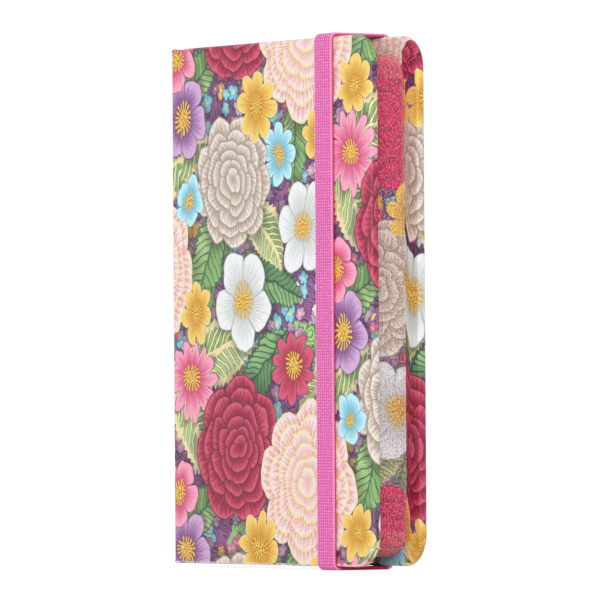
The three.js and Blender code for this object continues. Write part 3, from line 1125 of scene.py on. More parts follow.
@dataclass(frozen=True)
class Fibrous:
    """A matt fibrous stuff, such as board, kraft paper, gauze or thread.

    Its scale counts flecks in a millimetre, and its weave is the pitch of its threads in millimetres.
    """

    name: str
    base: str
    dark: str
    light: str
    scale: float
    weave: float = 0.0
    roughness: float = 0.9
    relief: float = 0.06 * MM

    def material(self) -> bpy.types.Material:
        """Sets the finish up.

        Returns:
            Its material.
        """
        shader = Shader(self.name, self.roughness, Specular_IOR_Level=0.15)
        raw = shader.object_place(MM)
        x, y, z = shader.split(raw)
        flat = shader.node("CombineXYZ", inputs={0: x + y, 1: z, 2: 0.0})
        fleck = shader.grain(flat, self.scale, 4)
        colour = shader.paint(ink(self.base), ink(self.dark), shader.ease(fleck, 0.55, 0.75) * 0.6)
        colour = shader.paint(colour, ink(self.light), shader.ease(fleck, 0.45, 0.25) * 0.6)
        height = fleck
        if self.weave:
            half_weave = self.weave / 2
            warp = shader.math("PINGPONG", x + y, half_weave) / half_weave
            weft = shader.math("PINGPONG", z, half_weave) / half_weave
            cloth = shader.math("MAXIMUM", warp, weft)
            colour = shader.paint(colour, ink(self.dark), shader.ease(cloth, 0.6, 0.2) * 0.7)
            height = fleck * 0.3 + cloth
        shader.lead(colour, "Base Color")
        shader.emboss(height, 0.5, self.relief)
        return shader.material


@dataclass(frozen=True)
class StripedCloth:
    """The end bands' sewn beads: coloured silk in two stripes over a core."""

    stripe: float = 1.0 * MM
    relief: float = 0.1 * MM
    silks: tuple[str, str] = ("D6449C", "F7E9F0")
    shade: str = "7E2A5E"

    def material(self) -> bpy.types.Material:
        """Sets the finish up.

        Returns:
            Its material.
        """
        shader = Shader("end_band_cloth", 0.6, Sheen_Weight=0.3)
        x, y, z = shader.split(shader.object_place(MM))
        slant = y + x * 0.5 + z * 0.4
        wave = shader.math("PINGPONG", slant, self.stripe / MM)
        colour = shader.tones(self.silks, shader.ease(wave, 0.42, 0.58))
        thread = shader.math("PINGPONG", slant * 6, 0.5)
        colour = shader.paint(colour, ink(self.shade), shader.ease(thread, 0.2, 0.0) * 0.6)
        shader.lead(colour, "Base Color")
        shader.emboss(thread, 0.6, self.relief)
        return shader.material


class Finishes:
    """Every material of the book, made once."""

    def __init__(self, band_width: float, band_ribs: int) -> None:
        """Makes the materials.

        Args:
            band_width: the elastic's width.
            band_ribs: how many ribs of stitches it has.
        """
        self.cover = PrintedPaper().material()
        self.edge = PrintedEdge().material()
        self.grid = GridPaper().material()
        self.endpaper = GridPaper("endpaper", line=0, paper="F5EFE2", cloud="ECE2CF").material()
        self.elastic = Webbing(band_width, band_ribs).material()
        # The webbing again in darker, redder inks: painted shade for the band's inner wall and the shaded
        # parts of its sides.
        inside = Webbing(band_width, band_ribs, "elastic_shade", "D0184E", "E23A6C", "980E34")
        self.elastic_shade = inside.material()
        self.end_band = StripedCloth().material()
        self.board = Fibrous("greyboard", "9C948A", "6E675F", "BDB6AB", 1.2).material()
        self.liner = Fibrous("lining_paper", "B59B78", "8E7450", "D2BC98", 1.8).material()
        self.mull = Fibrous("mull_cloth", "E4DED0", "B4AB98", "F4F0E6", 2.0, 0.9).material()
        self.thread = Fibrous("linen_thread", "F1EEE6", "C9C2B0", "FFFDF6", 5.0, 0.25).material()


# The book's plan, read from the frame

SLOT_DISTANCE = 12 * MM
PAGE_RADIUS = 7.5 * MM


class Plan:
    """Places that several sub-assemblies share, in metres."""

    def __init__(self) -> None:
        """Reads the places from the frame's pieces."""
        cover_low, cover_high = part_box("front_cover_wrap")
        spine_low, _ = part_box("spine_wrap")
        board_low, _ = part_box("front_board")
        paste_low, paste_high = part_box("front_pastedown")
        self.front, self.inner = cover_low.y, cover_high.y
        self.bottom, self.top = cover_low.z, cover_high.z
        self.fore, self.spine = cover_high.x, spine_low.x
        self.board_start = board_low.x
        self.page_edge = paste_high.x
        self.page_bottom, self.page_top = paste_low.z, paste_high.z
        self.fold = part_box("front_flyleaf")[0].x
        self.spine_board_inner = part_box("spine_board")[1].x
        self.middle = (self.bottom + self.top) / 2
        self.half_height = (self.top - self.bottom) / 2
        self.page_radius = PAGE_RADIUS
        self.slot_bottom = self.bottom + SLOT_DISTANCE
        self.slot_top = self.top - SLOT_DISTANCE

    def edge_run(self, place: Vector) -> float:
        """Measures round the cut edges of the pages: up the fore-edge, and back over head and tail.

        Args:
            place: a point near the pages' outline.

        Returns:
            The length from the middle of the fore-edge, above zero upwards.
        """
        middle_height = (self.page_bottom + self.page_top) / 2
        half = (self.page_top - self.page_bottom) / 2
        rise = place.z - middle_height
        radius = self.page_radius
        over = abs(rise) - (half - radius)
        back = self.page_edge - radius - place.x
        if over <= 0 and back <= 0:
            run = abs(rise)
        elif back >= 0:
            run = half - radius + radius * math.pi / 2 + back
        else:
            run = half - radius + radius * math.atan2(over, -back)
        return math.copysign(run, rise)


# Case


@dataclass
class Case:
    """The printed paper wrapped round the boards, joints and spine, in a front and a back half."""

    plan: Plan
    finishes: Finishes
    corner_radius: float = 8.5 * MM
    corner_steps: int = 16
    edge_rounding: float = 0.8 * MM
    rounding_steps: int = 4
    turn_in: float = 14 * MM
    pleat_length: float = 4 * MM
    pleats: tuple[tuple[int, float], ...] = (
        (1, 0.12 * MM),
        (4, 0.6 * MM),
        (7, 0.2 * MM),
        (10, 0.3 * MM),
        (13, 0.22 * MM),
    )
    pleat_step: float = 0.07 * MM
    gathered_roundings: float = 1.7
    raised_roundings: float = 1.1
    raised_share: float = 0.9
    paper: float = 0.2 * MM
    joint_thickness: float = 0.46 * MM
    joint_outer_share: float = 0.75
    joint_dip: float = 0.35 * MM
    joint_start: float = 0.45 * MM
    joint_columns: int = 6
    groove: float = 0.22 * MM
    groove_columns: tuple[int, int] = (1, 3)
    spine_corner: float = 0.5 * MM
    spine_corner_steps: int = 3
    slot_ease: float = 0.3 * MM
    half_slot: float = 0.7 * MM

    def build(self) -> None:
        """Models and dresses both halves."""
        front = self.model_half("front_cover_print")
        back = front.copy("back_cover_print")
        self.mirror(back)
        self.cut_slots(back)
        for half, side in ((front, Side.FRONT), (back, Side.BACK)):
            half.thicken(self.paper)
            half.smooth(40)
            half.lay_map(lambda place, _: self.sheet_place(place, side)[0])
            half.lay_map(lambda place, _: (self.sheet_place(place, side)[1], 0), FOLD_MAP)
            half.dress(self.finishes.cover)
            name = side.name.lower()
            start = Vector((self.plan.spine, side.value * -self.plan.front, 0))
            end = Vector((self.plan.board_start, side.value * -self.plan.front, 0))
            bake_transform(half.object)
            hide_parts(f"{name}_cover_wrap", "spine_wrap")
            log.info("%s: %d faces", half.object.name, len(half.object.data.polygons))

    def model_half(self, name: str) -> Piece:
        """Models the front half as one open sheet: board, turn-ins, pleats, joint and half the spine.

        Args:
            name: the piece's name.

        Returns:
            The sheet, without its thickness.
        """
        plan = self.plan
        low = Vector((plan.board_start, plan.front, plan.bottom))
        wrap = Piece.cube(name, low, Vector((plan.fore, plan.inner, plan.top)))
        with wrap.editing():
            wrap.pick(Part.EDGES, lambda e: runs_along(e, 1) and lies_at(e, 0, plan.fore))
            bpy.ops.mesh.bevel(offset=self.corner_radius, segments=self.corner_steps, affect="EDGES")
            wrap.pick(Part.FACES, lambda f: f.normal.y > 0.9)
            bpy.ops.mesh.inset(thickness=self.pleat_length)
            wrap.pick(Part.EDGES, self.on_rim)
            bpy.ops.mesh.bevel(offset=self.edge_rounding, segments=self.rounding_steps, affect="EDGES")
            self.pleat_corners(wrap)
            self.open_window(wrap)
            self.run_to_spine(wrap)
            wrap.merge()
        return wrap

    def on_rim(self, edge: bmesh.types.BMEdge) -> bool:
        """Tells whether an edge lies on the outer or inner rim, away from the spine side.

        Args:
            edge: the edge.

        Returns:
            Whether it does.
        """
        plan = self.plan
        on_face = lies_at(edge, 1, plan.front) or lies_at(edge, 1, plan.inner)
        if not on_face or lies_at(edge, 0, plan.board_start):
            return False
        return any(abs(face.normal.y) < 0.1 for face in edge.link_faces)

    def pleat_corners(self, wrap: Piece) -> None:
        """Gathers the turn-in into small pleats round both corners.

        Each of the pleats is a column of the corner and how far it is raised there. They start
        gathered_roundings edge roundings short of the inner face. They are raised from raised_roundings
        short of it, as far as raised_share of their length.

        Args:
            wrap: the sheet, in edit mode.
        """
        step = math.pi / 2 / self.corner_steps
        slack = step / 5
        start = self.plan.inner - self.edge_rounding * self.gathered_roundings

        def gathered(edge: bmesh.types.BMEdge) -> bool:
            """Tells whether an edge runs inwards where a pleat lies.

            Args:
                edge: the edge.

            Returns:
                Whether it does.
            """
            if middle(edge).y < start:
                return False
            turns = [self.corner_turn(vertex.co) for vertex in edge.verts]
            if None in turns or abs(turns[0] - turns[1]) > slack:
                return False
            return any(abs(turns[0] - column * step) < slack for column, _ in self.pleats)

        wrap.pick(Part.EDGES, gathered)
        bpy.ops.mesh.bevel(offset=self.pleat_step, segments=1, affect="EDGES")
        for column, rise in self.pleats:
            wrap.pick(Part.VERTICES, lambda v: self.on_crest(v.co, column * step, step))
            bpy.ops.transform.shrink_fatten(value=rise)

    def on_crest(self, place: Vector, turn: float, step: float) -> bool:
        """Tells whether a point lies on a pleat's raised line.

        Args:
            place: the point.
            turn: how far round the corner the pleat lies.
            step: the turn from one column of the corner to the next.

        Returns:
            Whether it lies there, on the inner half of the edge or on the inner face.
        """
        own_turn = self.corner_turn(place)
        start = self.plan.inner - self.edge_rounding * self.raised_roundings
        if own_turn is None or place.y < start:
            return False
        across = place.x - (self.plan.fore - self.corner_radius)
        inner_end = self.corner_radius - self.pleat_length * self.raised_share
        if across < inner_end * math.cos(own_turn):
            return False
        apart, halfway = step / 50, step / 2
        return apart < own_turn - turn < halfway

    def corner_turn(self, place: Vector) -> float | None:
        """Measures how far round its corner a point lies.

        Args:
            place: the point.

        Returns:
            The angle from the fore-edge towards head or tail, or None away from the corners.
        """
        plan = self.plan
        across = place.x - (plan.fore - self.corner_radius)
        up = abs(place.z - plan.middle) - (plan.half_height - self.corner_radius)
        if across < -TOUCH or up < -TOUCH:
            return None
        return math.atan2(up, across)

    def open_window(self, wrap: Piece) -> None:
        """Cuts the inner face back to the turn-ins, and opens the spine side.

        Args:
            wrap: the sheet, in edit mode.
        """
        plan = self.plan
        low, high = plan.bottom + self.turn_in, plan.top - self.turn_in

        def inner(face: bmesh.types.BMFace) -> bool:
            """Tells whether a face lies on the inside of the cover."""
            return face.normal.y > 0.99 and face.calc_center_median().y > plan.inner - TOUCH

        def inside(face: bmesh.types.BMFace) -> bool:
            """Tells whether a face lies past the turn-ins, where the paper ends."""
            centre = face.calc_center_median()
            return inner(face) and centre.x < plan.fore - self.turn_in and low < centre.z < high

        wrap.cut(inner, 0, plan.fore - self.turn_in)
        wrap.cut(inner, 2, low, high)
        wrap.remove_faces(inside)
        wrap.remove_faces(lambda f: f.normal.x < -0.9)

    def run_to_spine(self, wrap: Piece) -> None:
        """Extrudes the open side through the thin joint, round the spine corner, to mid spine.

        Args:
            wrap: the sheet, in edit mode.
        """
        plan = self.plan
        thickness = plan.inner - plan.front
        squeeze = self.joint_thickness / thickness
        lower = 1 - self.joint_dip / plan.half_height
        joint_end = plan.spine_board_inner + self.paper
        open_reach = plan.board_start + self.edge_rounding
        wrap.pick(Part.VERTICES, lambda v: v.is_boundary and v.co.x < open_reach)
        bpy.ops.transform.resize(value=(0, 1, 1), center_override=(plan.board_start, 0, 0))
        wrap.pick(Part.EDGES, lambda e: e.is_boundary and lies_at(e, 0, plan.board_start))
        wrap.extrude((-self.joint_start, 0, 0))
        about = (0, plan.front, plan.middle)
        bpy.ops.transform.resize(value=(1, squeeze, lower), center_override=about)
        pitch = (plan.board_start - self.joint_start - joint_end) / self.joint_columns
        dips = dict(zip(self.groove_columns, (self.groove, -self.groove)))
        for column in range(self.joint_columns):
            wrap.extrude((-pitch, dips.get(column, 0), 0))
        bpy.ops.transform.resize(value=(1, 1, 1 / lower), center_override=about)
        hub = Vector((joint_end, plan.front + self.joint_thickness, plan.middle))
        depth = joint_end - plan.spine
        wrap.extrude((0, 0, 0))
        swing = math.atan2(depth, self.joint_thickness)
        growth = math.hypot(depth, self.joint_thickness) / self.joint_thickness
        bpy.ops.transform.resize(value=(growth, growth, 1), center_override=hub)
        self.turn_about(swing, hub)
        wrap.extrude((0, 0, 0))
        self.turn_about(math.pi / 2 - swing, hub)
        reach = depth / (growth * self.joint_thickness)
        bpy.ops.transform.resize(value=(reach, 1, 1), center_override=hub)
        bpy.ops.transform.translate(value=(0, self.spine_corner, 0))
        wrap.extrude((0, -hub.y - self.spine_corner, 0))
        corner = Vector((plan.spine, plan.front, 0))
        wrap.pick(
            Part.EDGES,
            lambda e: runs_along(e, 2) and (middle(e).xy - corner.xy).length < TOUCH * 5,
        )
        bpy.ops.mesh.bevel(offset=self.spine_corner, segments=self.spine_corner_steps, affect="EDGES")

    @staticmethod
    def turn_about(angle: float, centre: Vector) -> None:
        """Turns what is selected clockwise about an upright line, seen from above."""
        bpy.ops.transform.rotate(value=angle, orient_axis="Z", center_override=centre)

    def mirror(self, half: Piece) -> None:
        """Turns the front half into the back half.

        Args:
            half: the copy to mirror.
        """
        half.object.scale.y = -1
        half.settled()
        with half.editing():
            half.face_outwards()
        biggest = max(half.object.data.polygons, key=lambda face: face.area)
        if biggest.normal.y < 0:
            with half.editing():
                bpy.ops.mesh.select_all(action="SELECT")
                bpy.ops.mesh.flip_normals()

    def cut_slots(self, half: Piece) -> None:
        """Cuts the two slots that the band's tails pass through.

        Args:
            half: the back half, without its thickness.
        """
        band_low, band_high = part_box("elastic_front_run")
        left, right = band_low.x - self.slot_ease, band_high.x + self.slot_ease
        back = -self.plan.front

        def outer(face: bmesh.types.BMFace) -> bool:
            """Tells whether a face lies on the outside of the cover."""
            return face.normal.y > 0.99 and face.calc_center_median().y > back - TOUCH

        with half.editing():
            half.cut(outer, 0, left, right)
            for level in (self.plan.slot_bottom, self.plan.slot_top):
                low, high = level - self.half_slot, level + self.half_slot

                def strip(face: bmesh.types.BMFace) -> bool:
                    """Tells whether a face lies in the column of the slots."""
                    return outer(face) and left < face.calc_center_median().x < right

                half.cut(strip, 2, low, high)
                half.remove_faces(lambda f: strip(f) and low < f.calc_center_median().z < high)

    def sheet_place(self, place: Vector, side: Side) -> tuple[tuple[float, float], float]:
        """Unrolls the wrapped paper: returns where a point lies on the flat printed sheet.

        Args:
            place: a point of the wrap.
            side: the half that it belongs to.

        Returns:
            Place across and up the sheet, and how far past its fold the point lies, in metres.
        """
        plan, rounding = self.plan, self.edge_rounding
        x, z = place.x, place.z
        y = side.value * -place.y
        on_spine = x < plan.spine_board_inner + 2 * self.paper and y > plan.front + self.joint_thickness
        deep = x - plan.spine if on_spine else y - plan.front
        across = plan.spine - (y - plan.front) if on_spine else x
        up = z - plan.middle
        inset = plan.half_height - abs(up)
        normal = Vector((0, math.copysign(1, up)))
        if not on_spine and x > plan.board_start:
            corner_x = x - (plan.fore - self.corner_radius)
            corner_z = abs(up) - (plan.half_height - self.corner_radius)
            if corner_x > 0 and corner_z > 0:
                inset = self.corner_radius - math.hypot(corner_x, corner_z)
                normal = Vector((corner_x, math.copysign(corner_z, up))).normalized()
            elif plan.fore - x < inset:
                inset, normal = plan.fore - x, Vector((1, 0))
        in_joint = not on_spine and x < plan.board_start - TOUCH
        half_deep = (plan.inner - plan.front) / 2
        if in_joint:
            half_deep = self.joint_thickness * self.joint_outer_share
        run = max(0.0, rounding - inset) + deep
        if deep > half_deep:
            run = rounding + deep + inset
        base = Vector((across, up)) + normal * (inset - rounding)
        flat = base + normal * run if inset < rounding or deep > TOUCH else Vector((across, up))
        if side is Side.BACK:
            flat.x = 2 * (plan.spine + plan.front) - flat.x
        return (flat.x, flat.y), run


# Papers


@dataclass
class Papers:
    """The endpapers, the loose leaves and the sewn sections."""

    plan: Plan
    finishes: Finishes
    corner_steps: int = 8
    leaf_bend: float = 16 * MM
    bend_columns: int = 8
    sheets_in_section: int = 4
    sheet: float = 0.088 * MM
    fold_depth: float = 1 * MM
    spine_margin: float = 2 * MM
    free_start: float = 20 * MM
    fold_steps: int = 6
    edge_wander: float = 0.05 * MM
    wander_seed: int = 7

    def build(self) -> None:
        """Models every paper piece."""
        for side in Side:
            self.build_pastedown(side)
        for joint in frame["joints"]:
            if joint["name"].endswith("_turn"):
                self.build_leaf(joint["child"])
        self.build_sections()

    def round_corners(self, sheet: Piece) -> None:
        """Rounds the fore-edge corners of a sheet, in edit mode.

        Args:
            sheet: the flat sheet.
        """
        plan = self.plan
        ends = (plan.page_bottom, plan.page_top)

        def at_corner(vertex: bmesh.types.BMVert) -> bool:
            """Tells whether a point is a fore-edge corner.

            Args:
                vertex: the point.

            Returns:
                Whether it is.
            """
            across = abs(vertex.co.x - plan.page_edge)
            up = min(abs(vertex.co.z - end) for end in ends)
            return max(across, up) < TOUCH

        sheet.pick(Part.VERTICES, at_corner)
        bpy.ops.mesh.bevel(offset=plan.page_radius, segments=self.corner_steps, affect="VERTICES")

    def flat_sheet(self, name: str, start: float, level: float, bend: float) -> Piece:
        """Models one flat sheet with cuts across a strip at its spine side.

        Args:
            name: the piece's name.
            start: its X at the spine side.
            level: its Y.
            bend: how far from that side the cuts reach.

        Returns:
            The sheet, without its thickness.
        """
        plan = self.plan
        low = Vector((start, level, plan.page_bottom))
        piece = Piece.sheet(name, low, Vector((plan.page_edge, level, plan.page_top)))
        with piece.editing():
            self.round_corners(piece)
            places = [start + bend * (i + 1) / self.bend_columns for i in range(self.bend_columns)]
            piece.cut(lambda f: True, 0, *places)
        return piece

    def paper_map(self, place: Vector, normal: Vector) -> tuple[float, float]:
        """Maps the flat of a page for its ruling, and its cut edge for the print.

        Args:
            place: a point of the page.
            normal: its face's normal.

        Returns:
            Place across and up the page, or through it and along its cut edges.
        """
        if abs(normal.y) > 0.5:
            return place.x - self.plan.page_edge, place.z - self.plan.middle
        return place.y, self.plan.edge_run(place)

    def finish_sheet(self, piece: Piece, thickness: float, page: bpy.types.Material) -> None:
        """Gives a sheet its thickness, map and materials: the page, and the printed cut edge.

        Args:
            piece: the sheet.
            thickness: the paper's thickness.
            page: the material of its flat sides.
        """
        piece.thicken(thickness, 0)
        piece.smooth(30)
        piece.lay_map(self.paper_map)
        piece.dress(page, self.finishes.edge)
        for face in piece.object.data.polygons:
            at_spine = face.center.x < self.plan.fold + self.spine_margin
            face.material_index = int(abs(face.normal.y) < 0.5 and not at_spine)

    def build_pastedown(self, side: Side) -> None:
        """Models one pastedown with its strip across the joint.

        Args:
            side: the cover that it is pasted to.
        """
        name = side.name.lower()
        low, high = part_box(f"{name}_pastedown")
        level = (low.y + high.y) / 2
        bend = self.plan.board_start - self.plan.fold
        piece = self.flat_sheet(f"{name}_endpaper", self.plan.fold, level, bend)
        self.finish_sheet(piece, high.y - low.y, self.finishes.endpaper)
        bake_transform(piece.object)
        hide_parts(f"{name}_pastedown")
        log.info("%s laid", piece.object.name)

    def build_leaf(self, body: str) -> None:
        """Models one leaf that turns by itself.

        Args:
            body: the leaf's body, which is also its node.
        """
        low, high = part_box(body)
        level = (low.y + high.y) / 2
        piece = self.flat_sheet(f"{body}_sheet", low.x, level, self.leaf_bend)
        is_flyleaf = body.endswith("flyleaf")
        page = self.finishes.endpaper if is_flyleaf else self.finishes.grid
        self.finish_sheet(piece, high.y - low.y, page)
        start, end = Vector((low.x, level, 0)), Vector((low.x + self.leaf_bend, level, 0))
        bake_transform(piece.object)
        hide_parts(body)
        log.info("%s laid", piece.object.name)

    def build_sections(self) -> None:
        """Models one sewn section of nested folded sheets, and copies it through the block."""
        names = sorted(node for node in frame["nodes"] if node.startswith("section_"))
        first = self.model_section("section_pages")
        first_low, first_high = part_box(names[0])
        scatter = random.Random(self.wander_seed)
        free = self.plan.fold + self.free_start
        pitch = (first_high.y - first_low.y) / (2 * self.sheets_in_section)
        for number, name in enumerate(names):
            low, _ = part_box(name)
            piece = first.copy(f"{name}_pages")
            with piece.editing():
                bpy.ops.mesh.select_all(action="SELECT")
                bpy.ops.transform.translate(value=(0, low.y - first_low.y, 0))
                for leaf in range(2 * self.sheets_in_section):
                    level = low.y + pitch * (leaf + 0.5)
                    piece.pick(Part.VERTICES, lambda v: v.co.x > free and abs(v.co.y - level) < pitch / 2)
                    wander = scatter.uniform(-self.edge_wander, 0)
                    rise = scatter.uniform(-self.edge_wander, self.edge_wander)
                    bpy.ops.transform.translate(value=(wander, 0, rise))
            piece.smooth(30)
            piece.lay_map(self.paper_map)
            piece.dress(self.finishes.grid, self.finishes.edge)
            for face in piece.object.data.polygons:
                at_fold = face.center.x < self.plan.fold + self.fold_depth and abs(face.normal.z) < 0.9
                face.material_index = int(abs(face.normal.y) < 0.5 and not at_fold)
            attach(piece.object, "book_block")
            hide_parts(name)
            log.info("%s of %d sections sewn", number + 1, len(names))
        bpy.data.objects.remove(first.object)

    def model_section(self, name: str) -> Piece:
        """Models one section: sheets folded inside each other.

        Args:
            name: the piece's name.

        Returns:
            The section, at the first section's place.
        """
        low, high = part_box("section_01")
        centre = (low.y + high.y) / 2
        pitch = (high.y - low.y) / (2 * self.sheets_in_section)
        outer = (high.y - low.y) / 2
        hinge = low.x + outer
        sheets = []
        for number in range(self.sheets_in_section):
            half = outer - pitch * (number + 0.5)
            corner = Vector((hinge, centre - half, low.z))
            sheet = Piece.sheet(f"{name}_{number}", corner, Vector((high.x, centre - half, high.z)))
            with sheet.editing():
                sheet.pick(Part.EDGES, lambda e: lies_at(e, 0, hinge))
                about = {"center": (hinge, centre, 0), "axis": (0, 0, 1)}
                bpy.ops.mesh.spin(steps=self.fold_steps, angle=-math.pi, **about)
                far = centre + half
                sheet.pick(Part.EDGES, lambda e: lies_at(e, 0, hinge) and lies_at(e, 1, far))
                sheet.extrude((high.x - hinge, 0, 0))
                sheet.merge()
                self.round_corners(sheet)
                sheet.face_outwards()
            sheets.append(sheet)
        section = join(sheets, name)
        section.thicken(self.sheet, 0)
        return section


# Spine lining and end bands


@dataclass
class Lining:
    """The end bands, the spine card, and the finishes of the hidden boards, lining and sewing."""

    plan: Plan
    finishes: Finishes
    card_rounding: float = 0.6 * MM
    card_steps: int = 4
    rib_pitch: float = 0.5 * MM
    bead_sides: int = 16
    bead_width: float = 1.7 * MM
    bead_height: float = 1.1 * MM
    groove_scale: tuple[float, float, float] = (0.84, 1.0, 0.8)
    tape: float = 0.3 * MM
    tape_rounding: float = 0.06 * MM
    tape_steps: int = 2

    def build(self) -> None:
        """Models the spine card and both end bands, and dresses the frame's own hidden pieces."""
        self.build_card()
        for node in ("headband", "tailband"):
            self.build_end_band(node)
        dressed = {
            "front_board": self.finishes.board,
            "back_board": self.finishes.board,
            "spine_liner": self.finishes.liner,
            "spine_mull": self.finishes.mull,
        }
        threads = [node for node in frame["nodes"] if node.startswith("sewing_thread_")]
        dressed.update({node: self.finishes.thread for node in threads})
        for node, material in dressed.items():
            for slot in frame["nodes"][node].material_slots:
                slot.material = material
            log.info("%s dressed", node)

    def build_card(self) -> None:
        """Models the card that stiffens the spine, rounded where the paper turns over its ends."""
        low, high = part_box("spine_board")
        card = Piece.cube("spine_card", low, high)
        with card.editing():
            card.pick(Part.EDGES, lambda e: runs_along(e, 1))
            bpy.ops.mesh.bevel(offset=self.card_rounding, segments=self.card_steps, affect="EDGES")
        card.smooth(40)
        card.dress(self.finishes.board)
        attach(card.object, "book_block")
        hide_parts("spine_board")
        log.info("%s cut", card.object.name)

    def build_end_band(self, node: str) -> None:
        """Models a bead of wound silk on its tape.

        Args:
            node: headband or tailband.
        """
        low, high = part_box(node)
        up = node == "headband"
        half_width, half_height = self.bead_width / 2, self.bead_height / 2
        level = high.z - half_height if up else low.z + half_height
        clear_selection()
        bpy.ops.mesh.primitive_cylinder_add(
            vertices=self.bead_sides,
            radius=1,
            depth=high.y - low.y,
            location=(low.x + half_width, (low.y + high.y) / 2, level),
            rotation=(math.pi / 2, 0, 0),
        )
        bpy.context.active_object.scale = (half_width, half_height, 1)
        piece = Piece(f"{node}_bead").settled()
        ribs = round((high.y - low.y) / self.rib_pitch)
        with piece.editing():
            places = [low.y + (high.y - low.y) * i / (2 * ribs) for i in range(1, 2 * ribs)]
            piece.cut(lambda f: True, 1, *places)
            grooves = places[1::2]
            piece.pick(Part.VERTICES, lambda v: min(abs(v.co.y - groove) for groove in grooves) < TOUCH)
            centre = (low.x + half_width, 0, level)
            bpy.ops.transform.resize(value=self.groove_scale, center_override=centre)
        tape_low = Vector((low.x, low.y, low.z if up else level))
        tape_high = Vector((low.x + self.tape, high.y, level if up else high.z))
        tape = Piece.cube("tape", tape_low, tape_high)
        with tape.editing():
            bpy.ops.mesh.select_all(action="SELECT")
            bpy.ops.mesh.bevel(offset=self.tape_rounding, segments=self.tape_steps, affect="EDGES")
        piece = join([piece, tape], f"{node}_bead")
        piece.smooth(50)
        piece.dress(self.finishes.end_band)
        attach(piece.object, "book_block")
        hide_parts(node)
        log.info("%s wound", piece.object.name)


# Closure band


